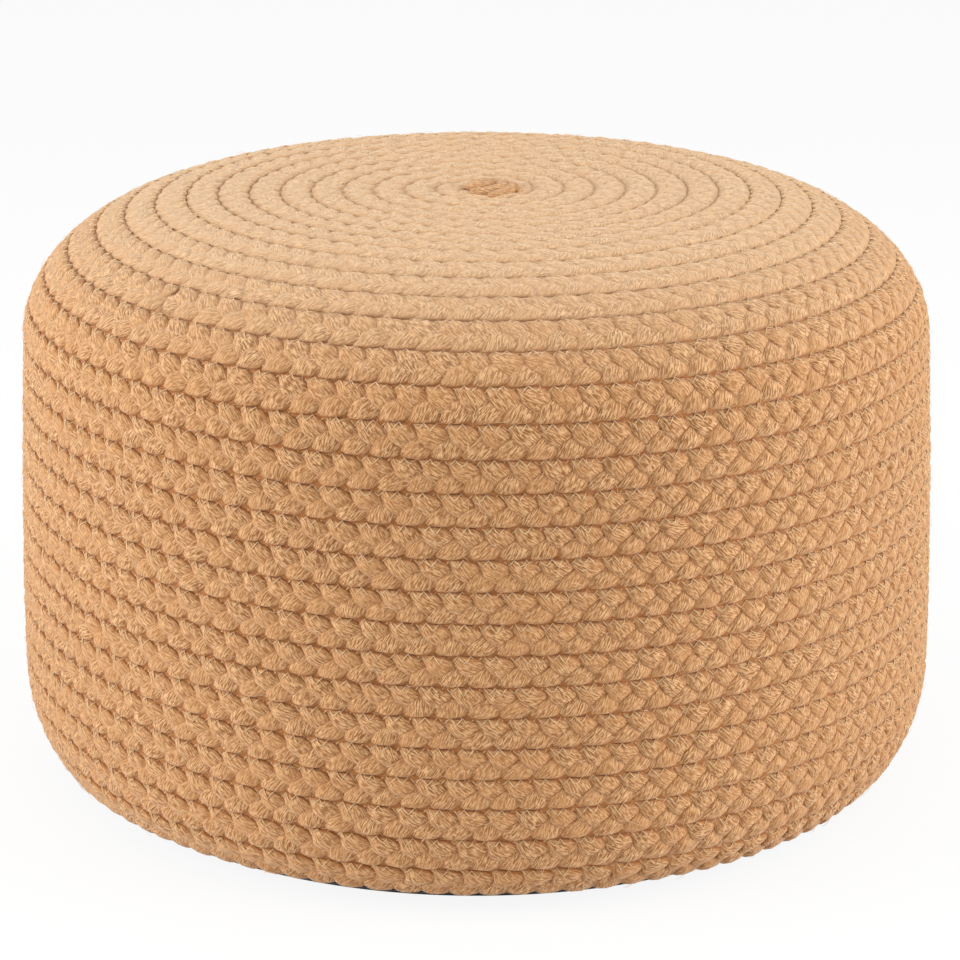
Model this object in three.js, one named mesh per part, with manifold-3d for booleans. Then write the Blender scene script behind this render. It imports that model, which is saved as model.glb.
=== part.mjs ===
// A round footstool of braided rope, the low pouf of a patio or porch. Millimetres, +Z up, the origin at
// the middle of its base, the front towards -Y.
//
// The cover is a flat braid wound as a spiral over the top, and a second length of the same braid that
// takes over at the shoulder and winds down the side, row sewn to row. Dark cloth closes it below in two
// halves, with a zip between them through which the bag of beads comes out. The cloth is lifted in a
// shallow tray round the zip, so that the slider and its pull stay clear of the ground.

import * as THREE from "three";
import { mergeVertices } from "three/addons/utils/BufferGeometryUtils.js";
import Module from "manifold-3d";

const wasm = await Module();
wasm.setup();

// The body, measured over the braid.
const BODY_DIAMETER = 508;
const BODY_HEIGHT = 320;
const TOP_FLAT_RADIUS = 136;
const SHOULDER_DROP = 75;
const WALL_BULGE = 6.4;
const WALL_BEND_SHARE = 0.64;
const FOOT_TUCK = 38.5;
const FOOT_RISE = 61;

// The braid and its rows. A run is a length along the middle of the braid's thickness, from the axis
// outward.
const BRAID_THICKNESS = 10.4;
const BRAID_FACE_SHARE = 0.56;
const ROW_GAP = 0.7;
const TOP_ROW_PITCH = 16.75;
const SIDE_ROW_PITCH = 15.9;
const SHOULDER_SLACK = 9;
const SLACK_TURNS = 3;
const SPLICE_RUN = 210.8;
const SPLICE_TURN = -0.125;
const SPLICE_GAP = 0.4;
const INNERMOST_RUN = 0.5;
const LEAD_FACETS = 5;
const LAST_ROW_SHARE = 0.7;
const FACETS = 24;

// The base cloth, and the tray that it is lifted into round the zip.
const CLOTH = 1.5;
const CLOTH_DEPTH = 4.5;
const CLOTH_SEAM_GAP = 0.4;
const CLOTH_TO_BRAID_GAP = 0.3;
const RIM_BELOW_SEAM = 0.5;
const RIM_CUT_TURNS = 1.5;
const TRAY_RAMP = 14;
const TRAY_SIDE_MARGIN = 2;
const TRAY_END_MARGIN = 6;

// The bag and its filling.
const BAG_CLOTH = 1;
const BAG_GAP = 0.5;
const BAG_SEAM_GAP = 0.4;
const BAG_SEAM_SHARE = 0.45;
const BAG_OVER_ZIP_GAP = 1;

// The zip, a moulded one of about size 10.
const ZIP_END_MARGIN = 65.5;
const TOOTH_PITCH = 5;
const TOOTH_THICKNESS = 3.6;
const TOOTH_GAP = 0.4;
const TOOTH_NECK_WIDTH = 1.4;
const TOOTH_TIP_WIDTH = 1.9;
const TOOTH_REACH = 1.1;
const TOOTH_LOCK = 0.5;
const SPINE_INNER = 3.7;
const SPINE_WIDTH = 1.2;
const TAPE_WIDTH = 15;
const TAPE_THICKNESS = 0.8;
const TAPE_GAP = 0.3;
const TAPE_RUN_ON = 12;
const TAPE_END_MARGIN = 4;
const STOP_LENGTH = 4;
const STOP_CHAMFER = 0.9;
const STOP_GAP = 0.3;
const SLOT_END_MARGIN = 4;
const SLOT_SIDE_GAP = 0.6;

// The slider and the crown that holds its pull.
const SLIDER_LENGTH = 24;
const SLIDER_FLARE = 1.7;
const SLIDER_FLARE_LENGTH = 4;
const SLIDER_EAR = 2.5;
const SLIDER_NOTCH = 1.6;
const SLIDER_PLATE = 1.3;
const SLIDER_RAIL = 1.4;
const SLIDER_GAP = 0.3;
const RAIL_GAP = 0.5;
const POST_LENGTH = 8;
const POST_WIDTH = 3.4;
const POST_NOSE_WIDTH = 1.7;
const POST_SETBACK = 2.5;
const CROWN_LENGTH = 13;
const CROWN_WIDTH = 3.2;
const CROWN_BAR = 1.3;
const CROWN_SLOPE = 1.4;
const CROWN_GROUND_GAP = 3.1;

// The pull.
const PULL_LENGTH = 32;
const PULL_WIDTH = 9;
const PULL_WAIST = 5.4;
const PULL_THICKNESS = 1.6;
const PULL_BAR = 1.6;
const PULL_ARM = 1.8;
const PULL_HOLE_RADIUS = 1.7;
const PULL_GAP = 0.3;
const PULL_SIDE_GAP = 0.6;
const PULL_END_GAP = 0.6;
const PULL_GROUND_GAP = 0.3;

// Steps of a layer's outline over the shoulder and round the foot, and of a half circle. How far a piece is
// sunk into the one that it is joined to, and how far a cut runs past what it cuts.
const SHOULDER_STEPS = 5;
const FOOT_STEPS = 4;
const ROUND_STEPS = 8;
const FUSE = 0.3;
const OVERRUN = 30;

// What follows for the body.
const BODY_RADIUS = BODY_DIAMETER / 2;
const FOOT_RADIUS = BODY_RADIUS - FOOT_TUCK;
const SHOULDER_RADIUS = BODY_RADIUS - WALL_BULGE;
const WALL_TOP = BODY_HEIGHT - SHOULDER_DROP;

// What follows for the slider, from the middle of the teeth's thickness and from its own middle.
const SPINE_OUTER = SPINE_INNER + SPINE_WIDTH;
const PLATE_IN = TOOTH_THICKNESS / 2 + SLIDER_GAP;
const PLATE_OUT = PLATE_IN + SLIDER_PLATE;
const SLIDER_TAIL = SPINE_OUTER + RAIL_GAP + SLIDER_RAIL;
const SLIDER_MOUTH = SLIDER_TAIL + SLIDER_FLARE;
const POST_BACK = SLIDER_LENGTH / 2 - POST_SETBACK - POST_LENGTH;
const PULL_SWEEP = Math.hypot(PULL_BAR, PULL_THICKNESS) / 2;
const HINGE_DROP = PLATE_OUT + PULL_GAP + PULL_SWEEP;
const CROWN_DROP = HINGE_DROP + PULL_SWEEP + PULL_GAP;

// What follows for the heights above the ground: the crown hangs lowest, and the tray is as high as it
// needs.
const ZIP_PLANE = CROWN_GROUND_GAP + CROWN_BAR + CROWN_DROP;
const HINGE_Z = ZIP_PLANE - HINGE_DROP;
const PULL_DROOP = Math.asin((HINGE_Z - PULL_THICKNESS / 2 - PULL_GROUND_GAP) / PULL_LENGTH);
const TRAY_RISE = ZIP_PLANE - TAPE_THICKNESS / 2 - TAPE_GAP - CLOTH;
const BAG_DEPTH = BRAID_THICKNESS + BAG_GAP;
const BAG_FLOOR = CLOTH + BAG_GAP;
const BAG_TRAY_RISE = ZIP_PLANE + PLATE_OUT + BAG_OVER_ZIP_GAP;
const BAG_TRAY_SPREAD = CLOTH + BAG_GAP;

// What follows along and across the zip.
const CHAIN_END = FOOT_RADIUS - ZIP_END_MARGIN;
const SLIDER_X = CHAIN_END + TOOTH_GAP - POST_BACK;
const TOP_STOP_X = SLIDER_X + SLIDER_LENGTH / 2 + STOP_GAP;
const BOTTOM_STOP_X = -CHAIN_END - STOP_GAP - STOP_LENGTH;
const SLOT_START = BOTTOM_STOP_X - SLOT_END_MARGIN;
const SLOT_END = TOP_STOP_X + STOP_LENGTH + SLOT_END_MARGIN;
const SLOT_HALF_WIDTH = SLIDER_MOUTH + SLOT_SIDE_GAP;
const TAPE_INNER = SPINE_OUTER + TAPE_GAP;
const TAPE_START = SLOT_START - TAPE_RUN_ON;
const TAPE_END = SLOT_END + TAPE_RUN_ON;
const TRAY_HALF_LENGTH = Math.max(SLIDER_X + PULL_LENGTH + TRAY_END_MARGIN, TAPE_END + TAPE_END_MARGIN);
const TRAY_HALF_WIDTH = TAPE_INNER + TAPE_WIDTH + TRAY_SIDE_MARGIN;

const finishes = {
  braid: { color: 0xc9a477, roughness: 0.95, metalness: 0 },
  cloth: { color: 0x1f2126, roughness: 0.9, metalness: 0 },
  tape: { color: 0x24262b, roughness: 0.85, metalness: 0 },
  teeth: { color: 0x1b1c20, roughness: 0.4, metalness: 0 },
  slider: { color: 0x3a3b3f, roughness: 0.35, metalness: 1 },
  bag: { color: 0xece9e2, roughness: 0.9, metalness: 0 },
  beads: { color: 0xf6f5f1, roughness: 0.8, metalness: 0 },
};

const vec = (x, y) => new THREE.Vector2(x, y);
const inOrder = (a, b) => [Math.min(a, b), Math.max(a, b)];
const { lerp, radToDeg, smoothstep } = THREE.MathUtils;

function piece(name, geometry, finish) {
  const mesh = new THREE.Mesh(geometry, new THREE.MeshStandardMaterial(finish));
  mesh.name = name;
  return mesh;
}

// A closed geometry as a solid that can be joined and cut.
function solidOf(geometry) {
  const loose = geometry.index ? geometry.toNonIndexed() : geometry;
  const bare = new THREE.BufferGeometry();
  bare.setAttribute("position", loose.getAttribute("position"));
  const merged = mergeVertices(bare);
  const vertProperties = merged.getAttribute("position").array;
  return new wasm.Manifold(
    new wasm.Mesh({ numProp: 3, vertProperties, triVerts: new Uint32Array(merged.index.array) }),
  );
}

function geometryOf(solid) {
  const { vertProperties, triVerts } = solid.getMesh();
  const geometry = new THREE.BufferGeometry();
  geometry.setAttribute("position", new THREE.BufferAttribute(vertProperties, 3));
  geometry.setIndex(new THREE.BufferAttribute(triVerts, 1));
  return geometry.toNonIndexed();
}

const box = (...ranges) => new THREE.BoxGeometry(...ranges.map(([low, high]) => high - low))
  .translate(...ranges.map(([low, high]) => (low + high) / 2));

// A shape drawn in plan and given a height, between two levels.
function slab(shape, a, b) {
  const [low, high] = inOrder(a, b);
  const options = { depth: high - low, bevelEnabled: false, curveSegments: ROUND_STEPS };
  return new THREE.ExtrudeGeometry(shape, options).translate(0, 0, low);
}

// A shape drawn as seen from the front and given a depth, between two distances behind the middle.
function wall(shape, a, b) {
  const [near, far] = inOrder(a, b);
  return new THREE.ExtrudeGeometry(shape, { depth: far - near, bevelEnabled: false })
    .rotateX(Math.PI / 2)
    .translate(0, far, 0);
}

// A body turned about the vertical axis, with corners at the same bearings as the windings' sections.
const turned = (points) => new THREE.LatheGeometry(points, FACETS).rotateX(Math.PI / 2);

// The body's outline at a depth below its skin, from the middle of the top to the edge of the flat base:
// the level top, a quarter ellipse over the shoulder, the slightly bulging wall and a quarter ellipse in
// under the foot.
function meridian(depth) {
  const shoulder = SHOULDER_RADIUS - depth;
  const girth = BODY_RADIUS - depth;
  const path = new THREE.CurvePath();
  path.add(new THREE.LineCurve(vec(0, BODY_HEIGHT - depth), vec(TOP_FLAT_RADIUS, BODY_HEIGHT - depth)));
  path.add(new THREE.EllipseCurve(
    TOP_FLAT_RADIUS, WALL_TOP, shoulder - TOP_FLAT_RADIUS, SHOULDER_DROP - depth, Math.PI / 2, 0, true));
  path.add(new THREE.QuadraticBezierCurve(
    vec(shoulder, WALL_TOP), vec(girth, lerp(WALL_TOP, FOOT_RISE, WALL_BEND_SHARE)), vec(girth, FOOT_RISE)));
  path.add(new THREE.EllipseCurve(
    FOOT_RADIUS, FOOT_RISE, FOOT_TUCK - depth, FOOT_RISE - depth, 0, -Math.PI / 2, true));
  return path;
}

const braidMiddle = meridian(BRAID_THICKNESS / 2);
const braidMiddleLength = braidMiddle.getLength();
const wallFootRun = braidMiddle.getCurveLengths()[2];

// The run from the axis to the seam that has made this many turns since it passed the front at the splice.
// Rows are even over the top, and a little looser over the shoulder than down the side.
function seamRun(turn) {
  if (turn < 0) return SPLICE_RUN + TOP_ROW_PITCH * turn;
  return SPLICE_RUN + SIDE_ROW_PITCH * turn + SHOULDER_SLACK * (1 - Math.exp(-turn / SLACK_TURNS));
}

// One section of a winding: six corners of the flattened tube between one seam and the next. It stands
// square to the winding, or to the straight lead towards the point given.
function windingSection(turn, gap, thickness, leadTo) {
  const run = (seamRun(turn) + seamRun(turn + 1)) / 2;
  const half = (seamRun(turn + 1) - seamRun(turn) - gap) / 2;
  const at = braidMiddle.getPointAt(run / braidMiddleLength);
  const along = braidMiddle.getTangentAt(run / braidMiddleLength);
  const bearing = turn * 2 * Math.PI;
  const outward = new THREE.Vector3(Math.sin(bearing), -Math.cos(bearing), 0);
  const centre = outward.clone().multiplyScalar(at.x).setZ(at.y);
  if (leadTo) {
    const lead = leadTo.clone().sub(centre).setZ(0).normalize();
    outward.set(lead.y, -lead.x, 0);
  }
  const face = BRAID_FACE_SHARE;
  const corners = [[1, 0], [face, 1], [-face, 1], [-1, 0], [-face, -1], [face, -1]].map(([side, out]) => {
    const level = side * half * along.x - (out * thickness * along.y) / 2;
    const rise = side * half * along.y + (out * thickness * along.x) / 2;
    return centre.clone().addScaledVector(outward, level).setZ(centre.z + rise);
  });
  return { centre, corners };
}

// The sections of a winding from one turn to another, a facet apart, after a straight lead of some facets
// if it has one.
function windingSections(from, to, gap, thickness, leadFacets = 0) {
  const steps = Math.round((to - from) * FACETS);
  const sections = [];
  for (let i = 0; i < steps; i++) sections.push(windingSection(from + i / FACETS, gap, thickness));
  sections.push(windingSection(to, gap, thickness));
  if (leadFacets) {
    sections.unshift(windingSection(from - leadFacets / FACETS, gap, thickness, sections[0].centre));
  }
  return sections.map((section) => section.corners);
}

// The unbroken tube through the sections, closed by a flat face at each end.
function windingGeometry(sections) {
  const sides = sections[0].length;
  const last = (sections.length - 1) * sides;
  const index = [];
  for (let start = 0; start < last; start += sides) {
    for (let k = 0; k < sides; k++) {
      const a = start + k;
      const b = start + ((k + 1) % sides);
      index.push(a, a + sides, b, b, a + sides, b + sides);
    }
  }
  for (let k = 1; k + 1 < sides; k++) index.push(0, k, k + 1, last, last + k + 1, last + k);
  const positions = sections.flat().flatMap((corner) => corner.toArray());
  const geometry = new THREE.BufferGeometry();
  geometry.setAttribute("position", new THREE.Float32BufferAttribute(positions, 3));
  geometry.setIndex(index);
  return geometry.toNonIndexed();
}

// The least distance between the rows of one winding, between points along its corner lines that lie from
// half a turn to a turn and a half apart.
function leastGap(sections) {
  const points = [];
  for (let i = 0; i + 1 < sections.length; i++) {
    points.push(sections[i], sections[i].map((corner, k) => corner.clone().lerp(sections[i + 1][k], 1 / 2)));
  }
  let least = Infinity;
  for (let i = 0; i < points.length; i++) {
    for (let j = i + FACETS; j < Math.min(points.length, i + 3 * FACETS); j++) {
      for (const p of points[i]) {
        for (const q of points[j]) least = Math.min(least, p.distanceTo(q));
      }
    }
  }
  return least;
}

function braid(name, from, to, leadFacets) {
  const sections = windingSections(from, to, ROW_GAP, BRAID_THICKNESS, leadFacets);
  const gap = leastGap(sections).toFixed(2);
  console.log(`${name}: ${(to - from).toFixed(2)} turns, least gap to itself ${gap} mm`);
  return piece(name, windingGeometry(sections), finishes.braid);
}

// The turn at which the side braid ends, where its lower seam has come far enough in under the foot.
function lastTurn() {
  const depth = BRAID_THICKNESS / 2;
  const rows = new THREE.EllipseCurve(
    FOOT_RADIUS, FOOT_RISE, FOOT_TUCK - depth, FOOT_RISE - depth, 0, (-Math.PI / 2) * LAST_ROW_SHARE, true);
  const lowest = wallFootRun + rows.getLength();
  let facets = 0;
  while (seamRun((facets + 1) / FACETS + 1) <= lowest) facets++;
  return facets / FACETS;
}

// Points of a layer of cloth over the shoulder, between two shares of its quarter turn.
function shoulderLine(from, to, depth) {
  const curve = meridian(depth).curves[1];
  const steps = Array.from({ length: SHOULDER_STEPS + 1 }, (_, i) => i / SHOULDER_STEPS);
  return steps.map((step) => curve.getPoint(lerp(from, to, step)));
}

// Points of a layer of cloth round the foot, between two shares of its quarter turn. Past the last row of
// braid its depth goes over to the height that the layer has on the ground.
function footLine(from, to, depth, floor) {
  return Array.from({ length: FOOT_STEPS + 1 }, (_, i) => {
    const share = lerp(from, to, i / FOOT_STEPS);
    const inset = lerp(depth, floor, smoothstep(share, LAST_ROW_SHARE, 1));
    const angle = (share * Math.PI) / 2;
    return vec(
      FOOT_RADIUS + (FOOT_TUCK - inset) * Math.cos(angle),
      FOOT_RISE - (FOOT_RISE - inset) * Math.sin(angle));
  });
}

// The raised tray as a solid with sloping sides, of a given rise and wider by the spread all round: a box
// whose upper face is drawn in by the ramp.
function tray(rise, spread) {
  const halfLength = TRAY_HALF_LENGTH + TRAY_RAMP + spread;
  const halfWidth = TRAY_HALF_WIDTH + TRAY_RAMP + spread;
  const geometry = box([-halfLength, halfLength], [-halfWidth, halfWidth], [0, rise]);
  const corners = geometry.getAttribute("position");
  for (let i = 0; i < corners.count; i++) {
    if (corners.getZ(i) === 0) continue;
    corners.setX(i, corners.getX(i) - Math.sign(corners.getX(i)) * TRAY_RAMP);
    corners.setY(i, corners.getY(i) - Math.sign(corners.getY(i)) * TRAY_RAMP);
  }
  return geometry;
}

const across = [-BODY_DIAMETER, BODY_DIAMETER];
const fullHeight = [-OVERRUN, BODY_HEIGHT];

// The base cloth in two halves. Its rim comes up round the foot to the braid's last row, and is cut to it.
function baseCloth(endTurn) {
  const foot = braidMiddle.curves[3];
  const rimRun = seamRun(endTurn) + RIM_BELOW_SEAM - wallFootRun;
  const rimShare = foot.getUtoTmapping(rimRun / foot.getLength());
  const dish = solidOf(turned([
    vec(0, 0), ...footLine(1, rimShare, CLOTH_DEPTH, 0),
    ...footLine(rimShare, 1, CLOTH_DEPTH + CLOTH, CLOTH), vec(0, CLOTH),
  ]));
  const braidRoom = solidOf(windingGeometry(windingSections(
    endTurn - RIM_CUT_TURNS, endTurn + CLOTH_TO_BRAID_GAP / (2 * Math.PI * FOOT_RADIUS),
    ROW_GAP - 2 * CLOTH_TO_BRAID_GAP, BRAID_THICKNESS + 2 * CLOTH_TO_BRAID_GAP)));
  const slot = solidOf(box([SLOT_START, SLOT_END], [-SLOT_HALF_WIDTH, SLOT_HALF_WIDTH], fullHeight));
  const whole = dish.subtract(braidRoom)
    .add(solidOf(tray(TRAY_RISE + CLOTH, CLOTH)))
    .subtract(solidOf(tray(TRAY_RISE, 0)).add(solidOf(tray(TRAY_RISE, 0).translate(0, 0, -FUSE))))
    .subtract(slot);
  const half = CLOTH_SEAM_GAP / 2;
  return [["front", -1], ["back", 1]].map(([name, side]) => {
    const room = solidOf(box(across, inOrder(side * half, side * BODY_DIAMETER), fullHeight));
    return piece(`base_panel_${name}`, geometryOf(whole.intersect(room)), finishes.cloth);
  });
}

// The bag's three sewn panels. The lowest one is lifted over the zip.
function bagPanels() {
  const inner = BAG_DEPTH + BAG_CLOTH;
  const innerFloor = BAG_FLOOR + BAG_CLOTH;
  const shoulderSeam = BAG_SEAM_SHARE + BAG_SEAM_GAP / SHOULDER_DROP;
  const footSeam = BAG_SEAM_SHARE + BAG_SEAM_GAP / FOOT_TUCK;
  const top = turned([
    vec(0, BODY_HEIGHT - inner), ...shoulderLine(0, BAG_SEAM_SHARE, inner),
    ...shoulderLine(BAG_SEAM_SHARE, 0, BAG_DEPTH), vec(0, BODY_HEIGHT - BAG_DEPTH),
  ]);
  const sideIn = [...shoulderLine(1, shoulderSeam, inner), ...shoulderLine(shoulderSeam, 1, BAG_DEPTH)];
  const sideOut = [
    ...footLine(0, BAG_SEAM_SHARE, BAG_DEPTH, BAG_FLOOR), ...footLine(BAG_SEAM_SHARE, 0, inner, innerFloor),
  ];
  const side = turned([...sideIn, ...sideOut, sideIn[0]].reverse());
  const overZip = solidOf(tray(BAG_TRAY_RISE + BAG_CLOTH, BAG_TRAY_SPREAD + BAG_CLOTH))
    .intersect(solidOf(box(across, across, [BAG_FLOOR, BODY_HEIGHT])));
  const base = solidOf(turned([
    vec(0, BAG_FLOOR), ...footLine(1, footSeam, BAG_DEPTH, BAG_FLOOR),
    ...footLine(footSeam, 1, inner, innerFloor), vec(0, innerFloor),
  ])).add(overZip).subtract(solidOf(tray(BAG_TRAY_RISE, BAG_TRAY_SPREAD)));
  return [
    piece("bag_top", top, finishes.bag),
    piece("bag_side", side, finishes.bag),
    piece("bag_base", geometryOf(base), finishes.bag),
  ];
}

// The beads, which fill the bag.
function beadFill() {
  const depth = BAG_DEPTH + BAG_CLOTH + BAG_GAP;
  const floor = BAG_FLOOR + BAG_CLOTH + BAG_GAP;
  const heap = solidOf(turned([
    vec(0, floor), ...footLine(1, 0, depth, floor), ...shoulderLine(1, 0, depth), vec(0, BODY_HEIGHT - depth),
  ]));
  const overZip = solidOf(tray(BAG_TRAY_RISE + BAG_CLOTH + BAG_GAP, BAG_TRAY_SPREAD + BAG_CLOTH + BAG_GAP));
  return piece("bead_fill", geometryOf(heap.subtract(overZip)), finishes.beads);
}

// A row of teeth on their spine, side -1 for the front tape and 1 for the back one. A tooth has a neck and
// a wider head, and the rows are half a pitch apart, so that each head locks behind two others.
function toothRow(side) {
  const count = Math.floor((2 * CHAIN_END) / TOOTH_PITCH - 1 / 2);
  const first = -CHAIN_END + (TOOTH_PITCH * (3 + side)) / 4;
  const headWidth = TOOTH_PITCH - TOOTH_NECK_WIDTH - 2 * TOOTH_GAP;
  const halfTooth = [
    [TOOTH_NECK_WIDTH / 2, SPINE_INNER], [TOOTH_NECK_WIDTH / 2, TOOTH_LOCK],
    [headWidth / 2, -TOOTH_LOCK], [TOOTH_TIP_WIDTH / 2, -TOOTH_REACH],
  ];
  const outline = [vec(-CHAIN_END, side * SPINE_OUTER), vec(-CHAIN_END, side * SPINE_INNER)];
  for (let i = 0; i < count; i++) {
    const x = first + i * TOOTH_PITCH;
    outline.push(...halfTooth.map(([half, y]) => vec(x - half, side * y)));
    outline.push(...halfTooth.map(([half, y]) => vec(x + half, side * y)).reverse());
  }
  outline.push(vec(CHAIN_END, side * SPINE_INNER), vec(CHAIN_END, side * SPINE_OUTER));
  return slab(new THREE.Shape(outline), -TOOTH_THICKNESS / 2, TOOTH_THICKNESS / 2).translate(0, 0, ZIP_PLANE);
}

// The tape beside a row of teeth. It lies on the base cloth and runs on past both ends of the slot.
function tape(side) {
  return box(
    [TAPE_START, TAPE_END],
    inOrder(side * TAPE_INNER, side * (TAPE_INNER + TAPE_WIDTH)),
    [ZIP_PLANE - TAPE_THICKNESS / 2, ZIP_PLANE + TAPE_THICKNESS / 2]);
}

// A stop on the tapes' edges, as thick as the teeth and with its corners cut off as seen from the front.
function stop(x, from, to) {
  const half = TOOTH_THICKNESS / 2;
  const inset = [x + STOP_CHAMFER, x + STOP_LENGTH - STOP_CHAMFER];
  const shape = new THREE.Shape([
    vec(inset[0], -half), vec(inset[1], -half), vec(x + STOP_LENGTH, STOP_CHAMFER - half),
    vec(x + STOP_LENGTH, half - STOP_CHAMFER), vec(inset[1], half), vec(inset[0], half),
    vec(x, half - STOP_CHAMFER), vec(x, STOP_CHAMFER - half),
  ]);
  return wall(shape, from, to).translate(0, 0, ZIP_PLANE);
}

// The slider about its own middle, at the height of the teeth: two plates joined by the post that parts the
// teeth, rails along their edges that leave a slit for the tapes, and below them the crown that carries the
// pull.
function slider() {
  const end = SLIDER_LENGTH / 2;
  const edge = [
    vec(-end, SLIDER_TAIL), vec(0, SLIDER_TAIL), vec(SLIDER_FLARE_LENGTH, SLIDER_MOUTH),
    vec(end - SLIDER_EAR, SLIDER_MOUTH),
  ];
  const upper = [...edge, vec(end, SLIDER_TAIL)];
  const plate = new THREE.Shape([
    ...upper, vec(end - SLIDER_NOTCH, 0), ...upper.map((p) => vec(p.x, -p.y)).reverse(),
  ]);
  const postWaist = POST_BACK + POST_LENGTH / 2;
  const postFront = POST_BACK + POST_LENGTH;
  const post = new THREE.Shape([
    vec(POST_BACK, 0), vec(postWaist, -POST_WIDTH / 2), vec(postFront, -POST_NOSE_WIDTH / 2),
    vec(postFront, POST_NOSE_WIDTH / 2), vec(postWaist, POST_WIDTH / 2),
  ]);
  const legRoot = CROWN_LENGTH / 2;
  const legInner = legRoot - 2 * CROWN_SLOPE;
  const seat = FUSE - PLATE_OUT;
  const low = -CROWN_DROP - CROWN_BAR;
  const crown = new THREE.Shape([
    vec(-legRoot, seat), vec(CROWN_SLOPE - legRoot, low), vec(legRoot - CROWN_SLOPE, low),
    vec(legRoot, seat), vec(legInner, seat), vec(legInner, -CROWN_DROP),
    vec(-legInner, -CROWN_DROP), vec(-legInner, seat),
  ]);
  let whole = solidOf(slab(post, -PLATE_IN - FUSE, PLATE_IN + FUSE))
    .add(solidOf(wall(crown, -CROWN_WIDTH / 2, CROWN_WIDTH / 2)));
  for (const up of [-1, 1]) {
    whole = whole.add(solidOf(slab(plate, up * PLATE_IN, up * PLATE_OUT)));
    for (const side of [-1, 1]) {
      const rail = new THREE.Shape([
        ...edge.map((p) => vec(p.x, side * p.y)),
        ...edge.map((p) => vec(p.x, side * (p.y - SLIDER_RAIL))).reverse(),
      ]);
      whole = whole.add(solidOf(slab(rail, up * (TAPE_THICKNESS / 2 + TAPE_GAP), up * (PLATE_IN + FUSE))));
    }
  }
  return geometryOf(whole);
}

// The pull about its hinge, lying towards +X: a bar through the crown, two arms past it, and a waisted tab
// with a hole near its round end.
function pull() {
  const inside = CROWN_WIDTH / 2 + PULL_SIDE_GAP;
  const eye = inside + PULL_ARM;
  const web = Math.hypot(CROWN_LENGTH / 2, HINGE_DROP - PLATE_OUT) + PULL_END_GAP;
  const round = PULL_WIDTH / 2;
  const shape = new THREE.Shape();
  shape.moveTo(-PULL_BAR / 2, -eye);
  shape.lineTo(web, -eye);
  shape.lineTo(web + PULL_ARM, -PULL_WAIST / 2);
  shape.lineTo(PULL_LENGTH - round, -round);
  shape.absarc(PULL_LENGTH - round, 0, round, -Math.PI / 2, Math.PI / 2, false);
  shape.lineTo(web + PULL_ARM, PULL_WAIST / 2);
  shape.lineTo(web, eye);
  shape.lineTo(-PULL_BAR / 2, eye);
  const window = new THREE.Path([
    vec(PULL_BAR / 2, -inside), vec(PULL_BAR / 2, inside), vec(web, inside), vec(web, -inside),
  ]);
  const hole = new THREE.Path().absarc(PULL_LENGTH - round, 0, PULL_HOLE_RADIUS, 0, 2 * Math.PI, true);
  shape.holes.push(window, hole);
  return slab(shape, -PULL_THICKNESS / 2, PULL_THICKNESS / 2);
}

function coverPieces() {
  const firstTurn = Math.ceil(((INNERMOST_RUN - SPLICE_RUN) / TOP_ROW_PITCH) * FACETS) / FACETS;
  const spliceTurn = SPLICE_TURN - SPLICE_GAP / (2 * Math.PI * SPLICE_RUN);
  const endTurn = lastTurn();
  return [
    braid("top_braid", firstTurn, spliceTurn, LEAD_FACETS),
    braid("side_braid", SPLICE_TURN, endTurn),
    ...baseCloth(endTurn),
  ];
}

function zipPieces() {
  const pieces = [piece("zip_bottom_stop", stop(BOTTOM_STOP_X, -SPINE_OUTER, SPINE_OUTER), finishes.teeth)];
  for (const [name, side] of [["front", -1], ["back", 1]]) {
    const topStop = stop(TOP_STOP_X, side * SPINE_INNER, side * SPINE_OUTER);
    pieces.push(
      piece(`zip_tape_${name}`, tape(side), finishes.tape),
      piece(`zip_teeth_${name}`, toothRow(side), finishes.teeth),
      piece(`zip_top_stop_${name}`, topStop, finishes.teeth));
  }
  return pieces;
}

function sliderPieces() {
  const body = piece("zip_slider", slider(), finishes.slider);
  body.position.set(SLIDER_X, 0, ZIP_PLANE);
  const tab = piece("zip_pull", pull(), finishes.slider);
  tab.position.set(SLIDER_X, 0, HINGE_Z);
  tab.rotation.y = PULL_DROOP;
  const travel = SLIDER_X - SLIDER_LENGTH / 2 + CHAIN_END;
  const droop = radToDeg(PULL_DROOP).toFixed(2);
  console.log(`pull hinge at x ${SLIDER_X.toFixed(2)}, z ${HINGE_Z.toFixed(3)}, droop ${droop} degrees`);
  console.log(`slider travel ${travel.toFixed(2)} mm`);
  return [body, tab];
}

const ottoman = new THREE.Group();
for (const pieces of [coverPieces(), zipPieces(), sliderPieces(), [...bagPanels(), beadFill()]]) {
  ottoman.add(new THREE.Group().add(...pieces));
}

export default ottoman;
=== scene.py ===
"""A round footstool of braided rope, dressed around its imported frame.

The cover is a flat plait of three strands, wound over the top as a spiral, and a second length of it that
winds down the side. Each strand is modelled along its whole length. Under it are the seam threads, the
dark cloth base with its zip, and the bag of beads. Shapes are worked out in millimetres, and become metres
where a mesh is made. Angles that are fields are in degrees.
"""

import logging
import math
from dataclasses import dataclass, field
from enum import Enum
from functools import lru_cache
from typing import Any

import bpy
import numpy as np
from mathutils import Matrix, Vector


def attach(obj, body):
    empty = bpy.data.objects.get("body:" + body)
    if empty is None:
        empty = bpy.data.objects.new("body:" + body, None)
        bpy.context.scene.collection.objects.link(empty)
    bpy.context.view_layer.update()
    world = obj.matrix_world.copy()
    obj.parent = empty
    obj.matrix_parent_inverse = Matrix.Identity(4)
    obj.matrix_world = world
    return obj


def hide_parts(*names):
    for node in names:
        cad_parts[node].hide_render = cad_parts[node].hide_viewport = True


logging.basicConfig(level=logging.INFO, format="%(message)s")
log = logging.getLogger("footstool")

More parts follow.
